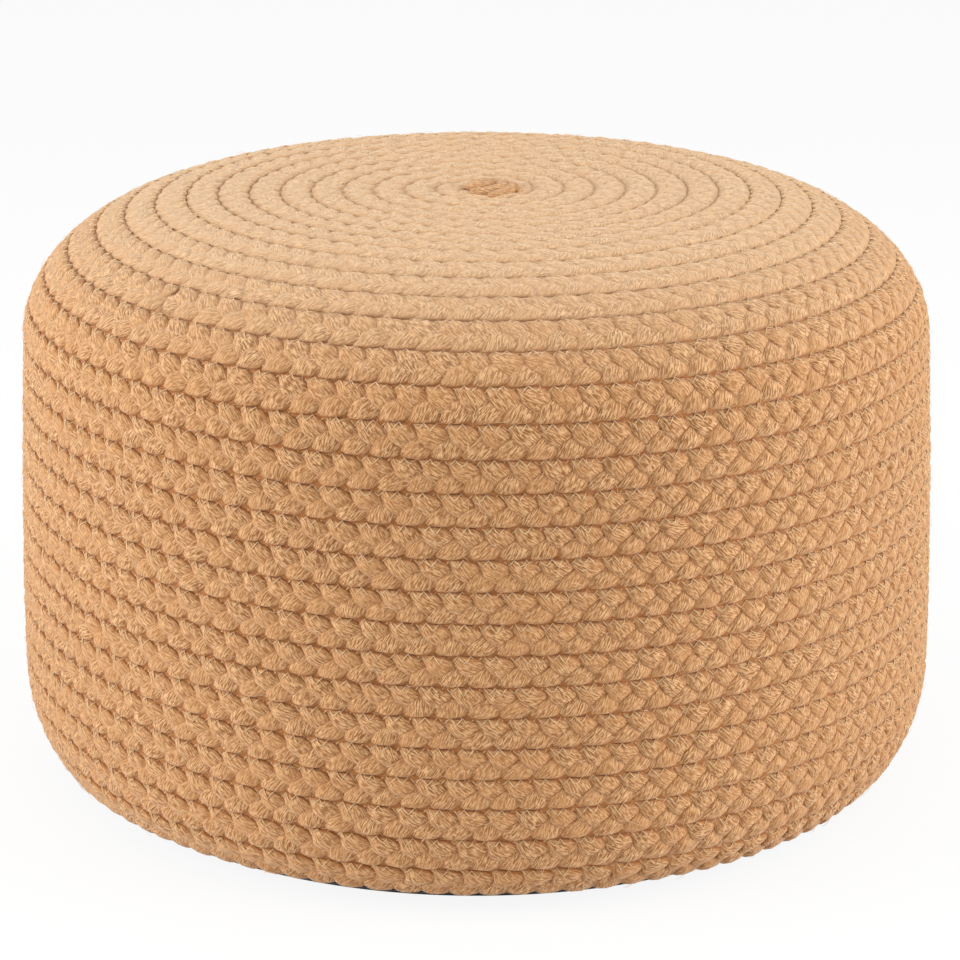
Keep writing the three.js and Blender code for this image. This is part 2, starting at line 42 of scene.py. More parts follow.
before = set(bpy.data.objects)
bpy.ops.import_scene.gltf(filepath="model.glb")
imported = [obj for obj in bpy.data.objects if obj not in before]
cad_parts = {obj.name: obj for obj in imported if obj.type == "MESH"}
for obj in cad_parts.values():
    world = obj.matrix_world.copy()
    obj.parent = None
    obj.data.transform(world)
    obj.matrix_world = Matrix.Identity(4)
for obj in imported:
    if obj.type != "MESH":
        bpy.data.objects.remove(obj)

MM = 0.001

# The sockets of a Mix node of colours, which shares their names with the node's other kinds.
FACTOR, FIRST, SECOND, MIXED = 0, 6, 7, 2

Array = np.ndarray
Colour = tuple[float, float, float, float]
Pair = tuple[float, float]
Spot = tuple[float, float, float]

WHITE: Colour = (1.0, 1.0, 1.0, 1.0)


def linear(code: int) -> Colour:
    """Turns an sRGB colour into the linear one that a shader takes.

    Args:
        code: The colour as a hex number, 0xRRGGBB.

    Returns:
        Linear red, green and blue, and an alpha of 1.
    """
    parts = [((code >> shift) & 0xFF) / 255 for shift in (16, 8, 0)]
    turned = [p / 12.92 if p <= 0.04045 else ((p + 0.055) / 1.055) ** 2.4 for p in parts]
    return (*turned, 1.0)


def add_node(
    tree: bpy.types.NodeTree, kind: str, inputs: dict[int | str, Any] | None = None, **settings: Any,
) -> bpy.types.Node:
    """Adds a node to a material or world.

    Args:
        tree: The node tree.
        kind: The node's type, without the ShaderNode that each begins with.
        inputs: A value for each input by its name or number, or what feeds it as (node, output).
        **settings: The node's own properties.

    Returns:
        The node.
    """
    node = tree.nodes.new(f"ShaderNode{kind}")
    for name, value in settings.items():
        setattr(node, name, value)
    for key, value in (inputs or {}).items():
        if isinstance(value, tuple) and isinstance(value[0], bpy.types.Node):
            tree.links.new(value[0].outputs[value[1]], node.inputs[key])
        else:
            node.inputs[key].default_value = value
    return node


def smoothstep(value: Array | float, low: float, high: float) -> Array:
    """Goes from 0 at low to 1 at high with level ends: 3 x squared less 2 x cubed."""
    x = np.clip((np.asarray(value, float) - low) / (high - low), 0.0, 1.0)
    return x * x * (3.0 - 2.0 * x)


def waver(at: Array, spacing: float, seed: int) -> Array:
    """A smooth random curve of about unit height.

    Random knots a spacing apart are joined by the smoothstep curve.

    Args:
        at: Where the curve is wanted, from 0 up.
        spacing: The distance between two knots.
        seed: The seed of the knots.

    Returns:
        The curve's height at each place.
    """
    place = np.asarray(at, float) / spacing
    knots = np.random.default_rng(seed).uniform(-1.0, 1.0, int(place.max()) + 3)
    step = np.floor(place).astype(int)
    share = smoothstep(place - step, 0.0, 1.0)
    return knots[step] * (1.0 - share) + knots[step + 1] * share


def unit(vectors: Array) -> Array:
    """Scales each vector to a length of 1."""
    return vectors / np.linalg.norm(vectors, axis=-1, keepdims=True)


def lengths_along(points: Array) -> Array:
    """The length along a line of points, from its first to each of them."""
    return np.concatenate([[0.0], np.cumsum(np.linalg.norm(np.diff(points, axis=0), axis=1))])


def rounded_off(near: Array, least: float = 0.03) -> Array:
    """How full a tube is by its closed end: the square root of 1 less how near that is, never nothing."""
    return np.sqrt(np.clip(1.0 - near, least, 1.0))


def level_line(start: float, end: float, count: int, height: float) -> Array:
    """Points of a level line of a profile.

    Args:
        start: The radius of its first point.
        end: The radius of its last point.
        count: How many points it has.
        height: Its height.

    Returns:
        The radius and height of each point.
    """
    radius = np.linspace(start, end, count)
    return np.stack([radius, np.full(count, height)], -1)


def make_piece(
    name: str, points: Array, quads: Array, uvs: Array | None = None, **attributes: Array,
) -> bpy.types.Object:
    """Makes an object from points and four-sided faces.

    Args:
        name: The piece's name.
        points: Its points in millimetres, one row each.
        quads: The four point numbers of each face, counter-clockwise from outside.
        uvs: The UV place of each corner of each face, in metres.
        **attributes: A number for each point, kept as an attribute of that name.

    Returns:
        The object, at the origin.
    """
    mesh = bpy.data.meshes.new(name)
    mesh.vertices.add(len(points))
    mesh.vertices.foreach_set("co", (np.asarray(points, np.float32) * np.float32(MM)).ravel())
    mesh.loops.add(quads.size)
    mesh.loops.foreach_set("vertex_index", quads.astype(np.int32).ravel())
    mesh.polygons.add(len(quads))
    mesh.polygons.foreach_set("loop_start", np.arange(0, quads.size, 4, dtype=np.int32))
    mesh.update(calc_edges=True)
    if uvs is not None:
        mesh.uv_layers.new(name="UVMap").data.foreach_set("uv", uvs.astype(np.float32).ravel())
    for key, values in attributes.items():
        layer = mesh.attributes.new(key, "FLOAT", "POINT")
        layer.data.foreach_set("value", values.astype(np.float32).ravel())
    mesh.shade_smooth()
    made = bpy.data.objects.new(name, mesh)
    bpy.context.scene.collection.objects.link(made)
    return made


def dress(
    piece: bpy.types.Object, material: bpy.types.Material, body: str, slot: str, *nodes: str,
) -> None:
    """Gives a piece its finish and its place in the frame.

    Args:
        piece: The piece.
        material: Its finish.
        body: The body that it rides on.
        slot: The record's material slot. It is not used.
        *nodes: The frame's nodes that it stands for.
    """
    piece.data.materials.append(material)
    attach(piece, body)
    if nodes:
        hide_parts(*nodes)
    log.info("%s: %d triangles", piece.name, sum(len(p.vertices) - 2 for p in piece.data.polygons))


def loop_quads(rings: int, sides: int) -> Array:
    """The faces of a tube that comes back to its own first ring.

    Args:
        rings: How many rings it has.
        sides: How many points a ring has.

    Returns:
        The faces.
    """
    ring, side = np.meshgrid(np.arange(rings), np.arange(sides), indexing="ij")
    after, here, there = (side + 1) % sides, ring * sides, (ring + 1) % rings * sides
    return np.stack([here + side, here + after, there + after, there + side], -1).reshape(-1, 4)


def tube_quads(rings: int, sides: int) -> Array:
    """The faces of a closed tube, whose points run round each ring in turn.

    Args:
        rings: How many rings it has.
        sides: How many points a ring has, an even number.

    Returns:
        The faces, the wall's first and then those of the two ends.
    """
    k = np.arange(sides // 2 - 1)
    end = np.stack([k, k + 1, sides - 2 - k, sides - 1 - k], -1)
    wall = loop_quads(rings, sides)[:(rings - 1) * sides]
    return np.concatenate([wall, end[:, ::-1], end + (rings - 1) * sides])


def slanted_uvs(along: Array, across: Array, slant: Array) -> Array:
    """The UV corners of a tube's faces, in metres, from a place on the row for each of its points.

    Each face turns both places by its own slant: u is the along place times the cosine plus the across
    place times the sine, and v is the across place times the cosine less the along place times the sine.
    So the level lines of v run at that slant to the row over the whole of a lobe.

    Args:
        along: Each point's place along the row in millimetres, with the first point again at a row's end.
        across: Each point's place across the row in the same order.
        slant: The angle of each ring's faces in radians.

    Returns:
        One pair for each corner of the faces of tube_quads.
    """
    rings, sides = along.shape[0], along.shape[1] - 1
    ring, side = np.meshgrid(np.arange(rings - 1), np.arange(sides), indexing="ij")
    at = np.stack([ring, ring, ring + 1, ring + 1], -1), np.stack([side, side + 1, side + 1, side], -1)
    turn = slant[:-1, None, None]
    u = along[at] * np.cos(turn) + across[at] * np.sin(turn)
    v = across[at] * np.cos(turn) - along[at] * np.sin(turn)
    # The faces of both ends, of four corners each, have no pattern.
    ends = np.zeros(((sides // 2 - 1) * 2 * 4, 2))
    return np.concatenate([np.stack([u, v], -1).reshape(-1, 2), ends]) * MM


def thin_tubes(centres: Array, facing: Array, radius: Array, sides: int) -> tuple[Array, Array]:
    """Closed thin tubes, such as threads and hairs.

    A point of a ring is its middle plus the radius times the cosine of its angle along one direction and
    the sine along another, both square to the tube.

    Args:
        centres: The rings' middles, as tubes by rings by 3.
        facing: A direction at each middle that the tube doesn't take.
        radius: The rings' radii, as tubes by rings.
        sides: The points of a ring, an even number.

    Returns:
        The points and the faces.
    """
    along = unit(np.gradient(centres, axis=1))
    first = unit(np.cross(facing, along))[:, :, None]
    second = np.cross(along[:, :, None], first)
    angle = np.arange(sides)[:, None] * 2 * math.pi / sides
    spokes = first * np.cos(angle) + second * np.sin(angle)
    points = centres[:, :, None] + radius[:, :, None, None] * spokes
    tubes, rings = radius.shape
    quads = tube_quads(rings, sides)[None] + (np.arange(tubes) * rings * sides)[:, None, None]
    return points.reshape(-1, 3), quads.reshape(-1, 4)


def lathe(profile: Array, sides: int) -> Array:
    """Turns a profile about the vertical axis.

    Args:
        profile: The radius and height of each ring, as rings by sides by 2.
        sides: The points of a ring.

    Returns:
        The points as rings by sides by 3, the bearing running from the front towards +X.
    """
    bearing = np.arange(sides) * 2 * math.pi / sides
    radius, height = profile[..., 0], profile[..., 1]
    return np.stack([radius * np.sin(bearing), -radius * np.cos(bearing), height], -1)


def mesh_area(piece: bpy.types.Object) -> float:
    """Adds up the area of a piece's faces.

    Args:
        piece: The piece.

    Returns:
        The area in square metres.
    """
    areas = np.empty(len(piece.data.polygons))
    piece.data.polygons.foreach_get("area", areas)
    return float(areas.sum())


def shell(outer: Array, thickness: float) -> tuple[Array, Array]:
    """Gives an open grid surface a thickness, as a closed piece.

    The second skin lies a thickness behind the first along its normals, which are the cross products of
    the grid's two directions, and four strips join their edges.

    Args:
        outer: The skin's points as rows by columns, with its outside where columns cross rows point.
        thickness: The distance between the two skins in millimetres.

    Returns:
        The points and the faces.
    """
    rows, columns = outer.shape[:2]
    normal = unit(np.cross(np.gradient(outer, axis=1), np.gradient(outer, axis=0)))
    points = np.concatenate([outer.reshape(-1, 3), (outer - normal * thickness).reshape(-1, 3)])
    count = rows * columns
    numbers = np.arange(count).reshape(rows, columns)
    here = numbers[:-1, :-1].ravel()
    front = np.stack([here, here + 1, here + columns + 1, here + columns], -1)
    rim = np.concatenate([numbers[0, :], numbers[1:, -1], numbers[-1, -2::-1], numbers[-2:0:-1, 0]])
    after = np.roll(rim, -1)
    edge = np.stack([after, rim, rim + count, after + count], -1)
    return points, np.concatenate([front, front[:, ::-1] + count, edge])


@dataclass(frozen=True)
class BodyOutline:
    """The pouf's outline in a plane through its axis, in millimetres.

    It is a level top, a quarter ellipse over the shoulder, a slightly bulging wall and a quarter ellipse in
    under the foot. A run is a length along the middle of the braid's thickness, from the axis outward.
    """

    diameter: float = 508.0
    height: float = 320.0
    top_flat_radius: float = 136.0
    shoulder_drop: float = 75.0
    wall_bulge: float = 6.4
    wall_bend_share: float = 0.64
    foot_tuck: float = 38.5
    foot_rise: float = 61.0
    braid_thickness: float = 10.4
    steps: int = 1500

    @property
    def foot_radius(self) -> float:
        """The radius at which the foot meets the ground."""
        return self.diameter / 2 - self.foot_tuck

    def shoulder(self, share: Array, depth: float) -> Array:
        """Points of the shoulder, a quarter ellipse: a reach times the sine, and a drop times the cosine.

        Args:
            share: The shares of the quarter's turn, from the top.
            depth: The depth below the skin.

        Returns:
            The radius and height of each point.
        """
        angle = np.asarray(share) * math.pi / 2
        reach = self.diameter / 2 - self.wall_bulge - self.top_flat_radius - depth
        drop = self.shoulder_drop
        return np.stack([
            self.top_flat_radius + reach * np.sin(angle),
            self.height - drop + (drop - depth) * np.cos(angle),
        ], -1)

    def wall(self, share: Array, depth: float) -> Array:
        """Points of the wall, a quadratic curve that comes down upright to the foot.

        Args:
            share: The shares of the curve, from the shoulder.
            depth: The depth below the skin.

        Returns:
            The radius and height of each point.
        """
        share = np.asarray(share)[..., None]
        girth = self.diameter / 2 - depth
        top = np.array([girth - self.wall_bulge, self.height - self.shoulder_drop])
        bend_height = top[1] + (self.foot_rise - top[1]) * self.wall_bend_share
        bend, low = np.array([girth, bend_height]), np.array([girth, self.foot_rise])
        return (1 - share) ** 2 * top + 2 * share * (1 - share) * bend + share**2 * low

    def foot(self, share: Array, depth: Array | float) -> Array:
        """Points of the foot, a quarter ellipse: a tuck times the cosine, and a rise less it times the sine.

        Args:
            share: The shares of the quarter's turn, from the wall.
            depth: The depth below the skin.

        Returns:
            The radius and height of each point.
        """
        angle = np.asarray(share) * math.pi / 2
        return np.stack([
            self.foot_radius + (self.foot_tuck - depth) * np.cos(angle),
            self.foot_rise - (self.foot_rise - depth) * np.sin(angle),
        ], -1)

    @lru_cache
    def middle(self) -> tuple[Array, Array, Array]:
        """The braid's middle line, worked out once.

        Returns:
            The run of each point, the points as radius and height, and the outward normals.
        """
        depth = self.braid_thickness / 2
        share = np.linspace(0.0, 1.0, self.steps)
        points = np.concatenate([
            np.stack([share * self.top_flat_radius, np.full(self.steps, self.height - depth)], -1),
            self.shoulder(share, depth)[1:], self.wall(share, depth)[1:], self.foot(share, depth)[1:],
        ])
        tangent = unit(np.gradient(points, axis=0))
        return lengths_along(points), points, np.stack([-tangent[:, 1], tangent[:, 0]], -1)


@dataclass(frozen=True)
class Winding:
    """How the rows of braid run over the body.

    The seam that has made n turns since it passed the front at the splice lies at a run of splice_run plus
    n pitches, and over the shoulder the side rows are looser by a slack that dies away. Below the seam
    spread_from the rows spread out under the foot, by a spread times a power of the turns past it. Row n
    lies between the seams n and n + 1, and the bearing of a point is its turn.
    """

    outline: BodyOutline = field(default_factory=BodyOutline)
    splice_run: float = 210.8
    splice_turn: float = -0.125
    top_pitch: float = 16.75
    side_pitch: float = 15.9
    slack: float = 9.0
    slack_turns: float = 3.0
    spread: float = 0.42
    spread_from: float = 15.0
    spread_power: float = 2.85
    first_turn: float = -12.5417
    last_turn: float = 17.6

    def seam(self, turn: Array) -> Array:
        """The run of the seam.

        Args:
            turn: The turns made.

        Returns:
            The run at each turn.
        """
        turn = np.asarray(turn, float)
        down = np.maximum(turn, 0.0)
        loose = self.slack * (1.0 - np.exp(-down / self.slack_turns))
        spread = self.spread * np.maximum(turn - self.spread_from, 0.0) ** self.spread_power
        level = self.splice_run + self.top_pitch * np.minimum(turn, 0.0)
        return level + self.side_pitch * down + loose + spread

    def row_middle(self, turn: Array) -> Array:
        """The run of the row's middle at each turn."""
        return (self.seam(turn) + self.seam(np.asarray(turn) + 1.0)) / 2

    def row_width(self, turn: Array) -> Array:
        """The distance between the row's two seams at each turn."""
        return self.seam(np.asarray(turn) + 1.0) - self.seam(turn)

    def place(self, turn: Array, run: Array, lift: Array | float = 0.0) -> tuple[Array, Array]:
        """Points on the braid's middle surface, or lifted off it.

        A point at radius r and height z of the outline, lifted along the outline's normal, is turned to its
        bearing: x is r times the sine of the bearing, and y is minus r times its cosine.

        Args:
            turn: The turns made, the bearing as a share of a circle.
            run: The run along the middle line.
            lift: The height over the middle surface.

        Returns:
            The points, and the surface's outward normals there.
        """
        runs, points, normals = self.outline.middle()
        radius, height = np.interp(run, runs, points[:, 0]), np.interp(run, runs, points[:, 1])
        out, up = np.interp(run, runs, normals[:, 0]), np.interp(run, runs, normals[:, 1])
        bearing = 2 * math.pi * np.asarray(turn)
        level = radius + lift * out
        at = np.stack([level * np.sin(bearing), -level * np.cos(bearing), height + lift * up], -1)
        return at, unit(np.stack([out * np.sin(bearing), -out * np.cos(bearing), up], -1))


@dataclass(frozen=True)
class Finish:
    """A finish of a real material: its name, and the shader that gives its look."""

    name: str

    def shader(self, tree: bpy.types.NodeTree) -> bpy.types.Node:
        """Adds the finish's own nodes.

        Args:
            tree: The material's node tree.

        Returns:
            The shader.
        """
        raise NotImplementedError

    def material(self) -> bpy.types.Material:
        """Builds the material.

        Returns:
            The material.
        """
        material = bpy.data.materials.new(self.name)
        material.use_nodes = True
        material.node_tree.nodes.clear()
        shader = self.shader(material.node_tree)
        add_node(material.node_tree, "OutputMaterial", {"Surface": (shader, 0)})
        return material


@dataclass(frozen=True)
class YarnFinish(Finish):
    """Spun polypropylene yarn, laid parallel in a strand.

    To the eye it is matt and soft: fine light and dark lines run with the yarns, brown flecks lie between
    them, the tone drifts along the rope, and a pale nap catches the light at the edges of a lobe. The nap is
    a sheen. Each pair of sizes is a length and a width in millimetres, and the yarns' is their real one.
    Painted shade turns what lies sunk between the strands a warm brown, and a painted sheen makes the top
    paler, with less of that painted shade there.
    """

    body: int = 0xC48D5A
    pale: int = 0xE3B685
    brown: int = 0x8A562A
    # The colour of the painted shade in the creases between the strands.
    crease_shade: int = 0x965314
    # The pale colour of the painted sheen on the top.
    top_sheen: int = 0xF4DDBA
    yarn: Pair = (3.6, 0.48)
    line_span: Pair = (0.34, 0.66)
    line_depth: float = 0.3
    fleck: Pair = (1.5, 0.6)
    fleck_span: Pair = (0.62, 0.74)
    fleck_share: float = 0.65
    patch: Pair = (30.0, 15.0)
    patch_span: Pair = (0.35, 0.65)
    patch_shares: Pair = (0.45, 0.9)
    # The sunk depths over which the painted crease shade comes in, and its largest share.
    crease_shade_span: Pair = (0.8, 2.1)
    crease_shade_share: float = 0.8
    # The share of the painted crease shade kept under the top's painted sheen, and the largest share of the
    # painted sheen colour.
    top_crease_shade: float = 0.5
    top_sheen_share: float = 0.27
    roughness: float = 0.92
    specular: float = 0.25
    sheen: int = 0xFFEFD6
    sheen_weight: float = 0.36
    sheen_roughness: float = 0.5

    def shader(self, tree: bpy.types.NodeTree) -> bpy.types.Node:
        """Adds the nodes.

        Args:
            tree: The material's node tree.

        Returns:
            The shader.
        """
        uv = add_node(tree, "UVMap", uv_map="UVMap")
        noises = []
        for (length, width), texture in (
            (self.yarn, {"Detail": 1.5, "Roughness": 0.5, "Distortion": 0.35}),
            (self.fleck, {"Detail": 1.0, "Roughness": 0.5}),
            (self.patch, {"Detail": 3.0, "Roughness": 0.6}),
        ):
            at = add_node(tree, "Mapping", {
                "Vector": (uv, 0), "Scale": (1 / (length * MM), 1 / (width * MM), 1.0)})
            noises.append(add_node(tree, "TexNoise", {
                "Vector": (at, 0), "Scale": 1.0, **texture}, noise_dimensions="2D"))
        lines, flecks, patches = noises
        sharp = add_node(tree, "MapRange", {
            "Value": (lines, "Fac"), "From Min": self.line_span[0], "From Max": self.line_span[1]},
            interpolation_type="SMOOTHSTEP")
        tone = add_node(tree, "Mix", {
            FACTOR: (sharp, 0), FIRST: linear(self.brown), SECOND: linear(self.pale)}, data_type="RGBA")
        drift = add_node(tree, "MapRange", {
            "Value": (patches, "Fac"), "From Min": self.patch_span[0], "From Max": self.patch_span[1],
            "To Min": self.patch_shares[0], "To Max": self.patch_shares[1]})
        plain = add_node(tree, "Mix", {
            FACTOR: (drift, 0), FIRST: linear(self.body), SECOND: (tone, MIXED)}, data_type="RGBA")
        specks = add_node(tree, "MapRange", {
            "Value": (flecks, "Fac"), "From Min": self.fleck_span[0], "From Max": self.fleck_span[1],
            "To Max": self.fleck_share})
        flecked = add_node(tree, "Mix", {
            FACTOR: (specks, 0), FIRST: (plain, MIXED), SECOND: linear(self.brown)}, data_type="RGBA")
        # Painted shade: the deeper a point is sunk between the strands, the more its colour goes over to the
        # crease shade colour.
        sunk = add_node(tree, "Attribute", attribute_name="sunk")
        dark = add_node(tree, "MapRange", {
            "Value": (sunk, "Fac"), "From Min": self.crease_shade_span[0], "From Max": self.crease_shade_span[1],
            "To Max": self.crease_shade_share}, interpolation_type="SMOOTHSTEP")
        # Painted sheen: over the top the painted crease shade is lessened, and the colour is mixed toward a
        # pale one.
        worn = add_node(tree, "Attribute", attribute_name="worn")
        kept = add_node(tree, "MapRange", {
            "Value": (worn, "Fac"), "To Min": 1.0, "To Max": self.top_crease_shade})
        share = add_node(tree, "Math", {0: (dark, 0), 1: (kept, 0)}, operation="MULTIPLY")
        crease_shaded = add_node(tree, "Mix", {
            FACTOR: (share, 0), FIRST: (flecked, MIXED), SECOND: linear(self.crease_shade)}, data_type="RGBA")
        fade = add_node(tree, "Math", {0: (worn, "Fac"), 1: self.top_sheen_share}, operation="MULTIPLY")
        colour = add_node(tree, "Mix", {
            FACTOR: (fade, 0), FIRST: (crease_shaded, MIXED), SECOND: linear(self.top_sheen)}, data_type="RGBA")
        bump = add_node(tree, "Bump", {
            "Height": (lines, "Fac"), "Strength": 1.0, "Distance": self.line_depth * MM})
        return add_node(tree, "BsdfPrincipled", {
            "Base Color": (colour, MIXED), "Roughness": self.roughness, "Specular IOR Level": self.specular,
            "Normal": (bump, 0), "Sheen Weight": self.sheen_weight, "Sheen Roughness": self.sheen_roughness,
            "Sheen Tint": linear(self.sheen)})


@dataclass(frozen=True)
class ClothFinish(Finish):
    """Woven or spunbonded polyester cloth.

    To the eye it is matt and even, with a close grid of threads and a slightly lighter bloom where it is
    rubbed. The real threads lie about 0.4 mm apart, and are drawn coarser than that so that they show.
    """

    colour: int
    light: int
    thread: float = 1.0
    relief: float = 0.15
    relief_strength: float = 0.7
    unevenness: float = 0.6
    bloom: float = 200 / 9
    roughness: float = 0.9
    specular: float = 0.3
    sheen_weight: float = 0.15

    def shader(self, tree: bpy.types.NodeTree) -> bpy.types.Node:
        """Adds the nodes.

        Args:
            tree: The material's node tree.

        Returns:
            The shader.
        """
        at = add_node(tree, "TexCoord")
        # A wave texture of bands repeats every pi tenths of a unit at a scale of 1.
        warp, weft = (
            add_node(tree, "TexWave", {
                "Vector": (at, "Object"), "Scale": math.pi / (10 * self.thread * MM),
                "Distortion": self.unevenness}, wave_type="BANDS", bands_direction=direction)
            for direction in ("X", "Y")
        )
        weave = add_node(tree, "Math", {0: (warp, "Fac"), 1: (weft, "Fac")}, operation="MULTIPLY")
        rubbed = add_node(tree, "TexNoise", {
            "Vector": (at, "Object"), "Scale": 1 / (self.bloom * MM), "Detail": 4.0})
        share = add_node(tree, "Math", {0: (weave, 0), 1: (rubbed, "Fac")}, operation="MULTIPLY")
        colour = add_node(tree, "Mix", {
            FACTOR: (share, 0), FIRST: linear(self.colour), SECOND: linear(self.light)}, data_type="RGBA")
        bump = add_node(tree, "Bump", {
            "Height": (weave, 0), "Strength": self.relief_strength, "Distance": self.relief * MM})
        return add_node(tree, "BsdfPrincipled", {
            "Base Color": (colour, MIXED), "Roughness": self.roughness, "Specular IOR Level": self.specular,
            "Sheen Weight": self.sheen_weight, "Normal": (bump, 0)})


@dataclass(frozen=True)
class HardFinish(Finish):
    """Moulded acetal or enamelled zinc.

    To the eye it is even and slightly glossy, with a fine grain, and worn lighter in places.
    """

    colour: int
    worn: int
    roughness: float
    metallic: float = 0.0
    grain: float = 0.4
    grain_depth: float = 0.05
    grain_strength: float = 0.25
    wear: float = 25 / 3
    wear_span: Pair = (0.5, 0.75)
    wear_share: float = 0.5
    gloss_spread: Pair = (-0.08, 0.12)

    def shader(self, tree: bpy.types.NodeTree) -> bpy.types.Node:
        """Adds the nodes.

        Args:
            tree: The material's node tree.

        Returns:
            The shader.
        """
        at = add_node(tree, "TexCoord")
        grain, rubbed = (
            add_node(tree, "TexNoise", {
                "Vector": (at, "Object"), "Scale": 1 / (size * MM), "Detail": detail})
            for size, detail in ((self.grain, 3.0), (self.wear, 5.0))
        )
        share = add_node(tree, "MapRange", {
            "Value": (rubbed, "Fac"), "From Min": self.wear_span[0], "From Max": self.wear_span[1],
            "To Max": self.wear_share})
        colour = add_node(tree, "Mix", {
            FACTOR: (share, 0), FIRST: linear(self.colour), SECOND: linear(self.worn)}, data_type="RGBA")
        rough = add_node(tree, "MapRange", {
            "Value": (rubbed, "Fac"), "To Min": self.roughness + self.gloss_spread[0],
            "To Max": self.roughness + self.gloss_spread[1]})
        bump = add_node(tree, "Bump", {
            "Height": (grain, "Fac"), "Strength": self.grain_strength, "Distance": self.grain_depth * MM})
        return add_node(tree, "BsdfPrincipled", {
            "Base Color": (colour, MIXED), "Roughness": (rough, 0), "Metallic": self.metallic,
            "Normal": (bump, 0)})


@dataclass(frozen=True)
class ThreadFinish(Finish):
    """Spun polyester thread or a loose fibre: to the eye matt and pale, with a slight change of tone."""

    colour: int
    pale: int
    tone: float = 6.0
    roughness: float = 0.85
    specular: float = 0.3
    sheen_weight: float = 0.3

    def shader(self, tree: bpy.types.NodeTree) -> bpy.types.Node:
        """Adds the nodes.

        Args:
            tree: The material's node tree.

        Returns:
            The shader.
        """
        at = add_node(tree, "TexCoord")
        tone = add_node(tree, "TexNoise", {
            "Vector": (at, "Object"), "Scale": 1 / (self.tone * MM), "Detail": 2.0})
        colour = add_node(tree, "Mix", {
            FACTOR: (tone, "Fac"), FIRST: linear(self.colour), SECOND: linear(self.pale)}, data_type="RGBA")
        return add_node(tree, "BsdfPrincipled", {
            "Base Color": (colour, MIXED), "Roughness": self.roughness, "Specular IOR Level": self.specular,
            "Sheen Weight": self.sheen_weight})


@dataclass(frozen=True)
class BeadFinish(Finish):
    """Expanded polystyrene beads: to the eye matt white cells, round and packed, with soft shade between."""

    colour: int = 0xF1F0EA
    shade: int = 0xB9B7AE
    bead: float = 4.0
    edge_span: Pair = (0.25, 0.65)
    roughness: float = 0.7

    def shader(self, tree: bpy.types.NodeTree) -> bpy.types.Node:
        """Adds the nodes.

        Args:
            tree: The material's node tree.

        Returns:
            The shader.
        """
        at = add_node(tree, "TexCoord")
        cells = add_node(tree, "TexVoronoi", {
            "Vector": (at, "Object"), "Scale": 1 / (self.bead * MM), "Randomness": 0.8})
        edge = add_node(tree, "MapRange", {
            "Value": (cells, "Distance"), "From Min": self.edge_span[0], "From Max": self.edge_span[1]},
            interpolation_type="SMOOTHSTEP")
        colour = add_node(tree, "Mix", {
            FACTOR: (edge, 0), FIRST: linear(self.colour), SECOND: linear(self.shade)}, data_type="RGBA")
        hollow = add_node(tree, "Math", {0: 1.0, 1: (cells, "Distance")}, operation="SUBTRACT")
        bump = add_node(tree, "Bump", {
            "Height": (hollow, 0), "Strength": 1.0, "Distance": self.bead * MM / 3})
        return add_node(tree, "BsdfPrincipled", {
            "Base Color": (colour, MIXED), "Roughness": self.roughness, "Normal": (bump, 0)})


@dataclass(frozen=True)
class FloorFinish(Finish):
    """A painted studio floor: to the eye nearly white, but keeping the soft shadow of what stands on it."""

    grey: float = 0.9
    glow_share: float = 0.9

    def shader(self, tree: bpy.types.NodeTree) -> bpy.types.Node:
        """Adds the nodes.

        Args:
            tree: The material's node tree.

        Returns:
            The shader.
        """
        rays = add_node(tree, "LightPath")
        matt = add_node(tree, "BsdfDiffuse", {"Color": (self.grey, self.grey, self.grey, 1.0)})
        glow = add_node(tree, "Emission", {"Color": WHITE, "Strength": 1.0})
        share = add_node(tree, "Math", {
            0: (rays, "Is Camera Ray"), 1: self.glow_share}, operation="MULTIPLY")
        return add_node(tree, "MixShader", {0: (share, 0), 1: (matt, 0), 2: (glow, 0)})


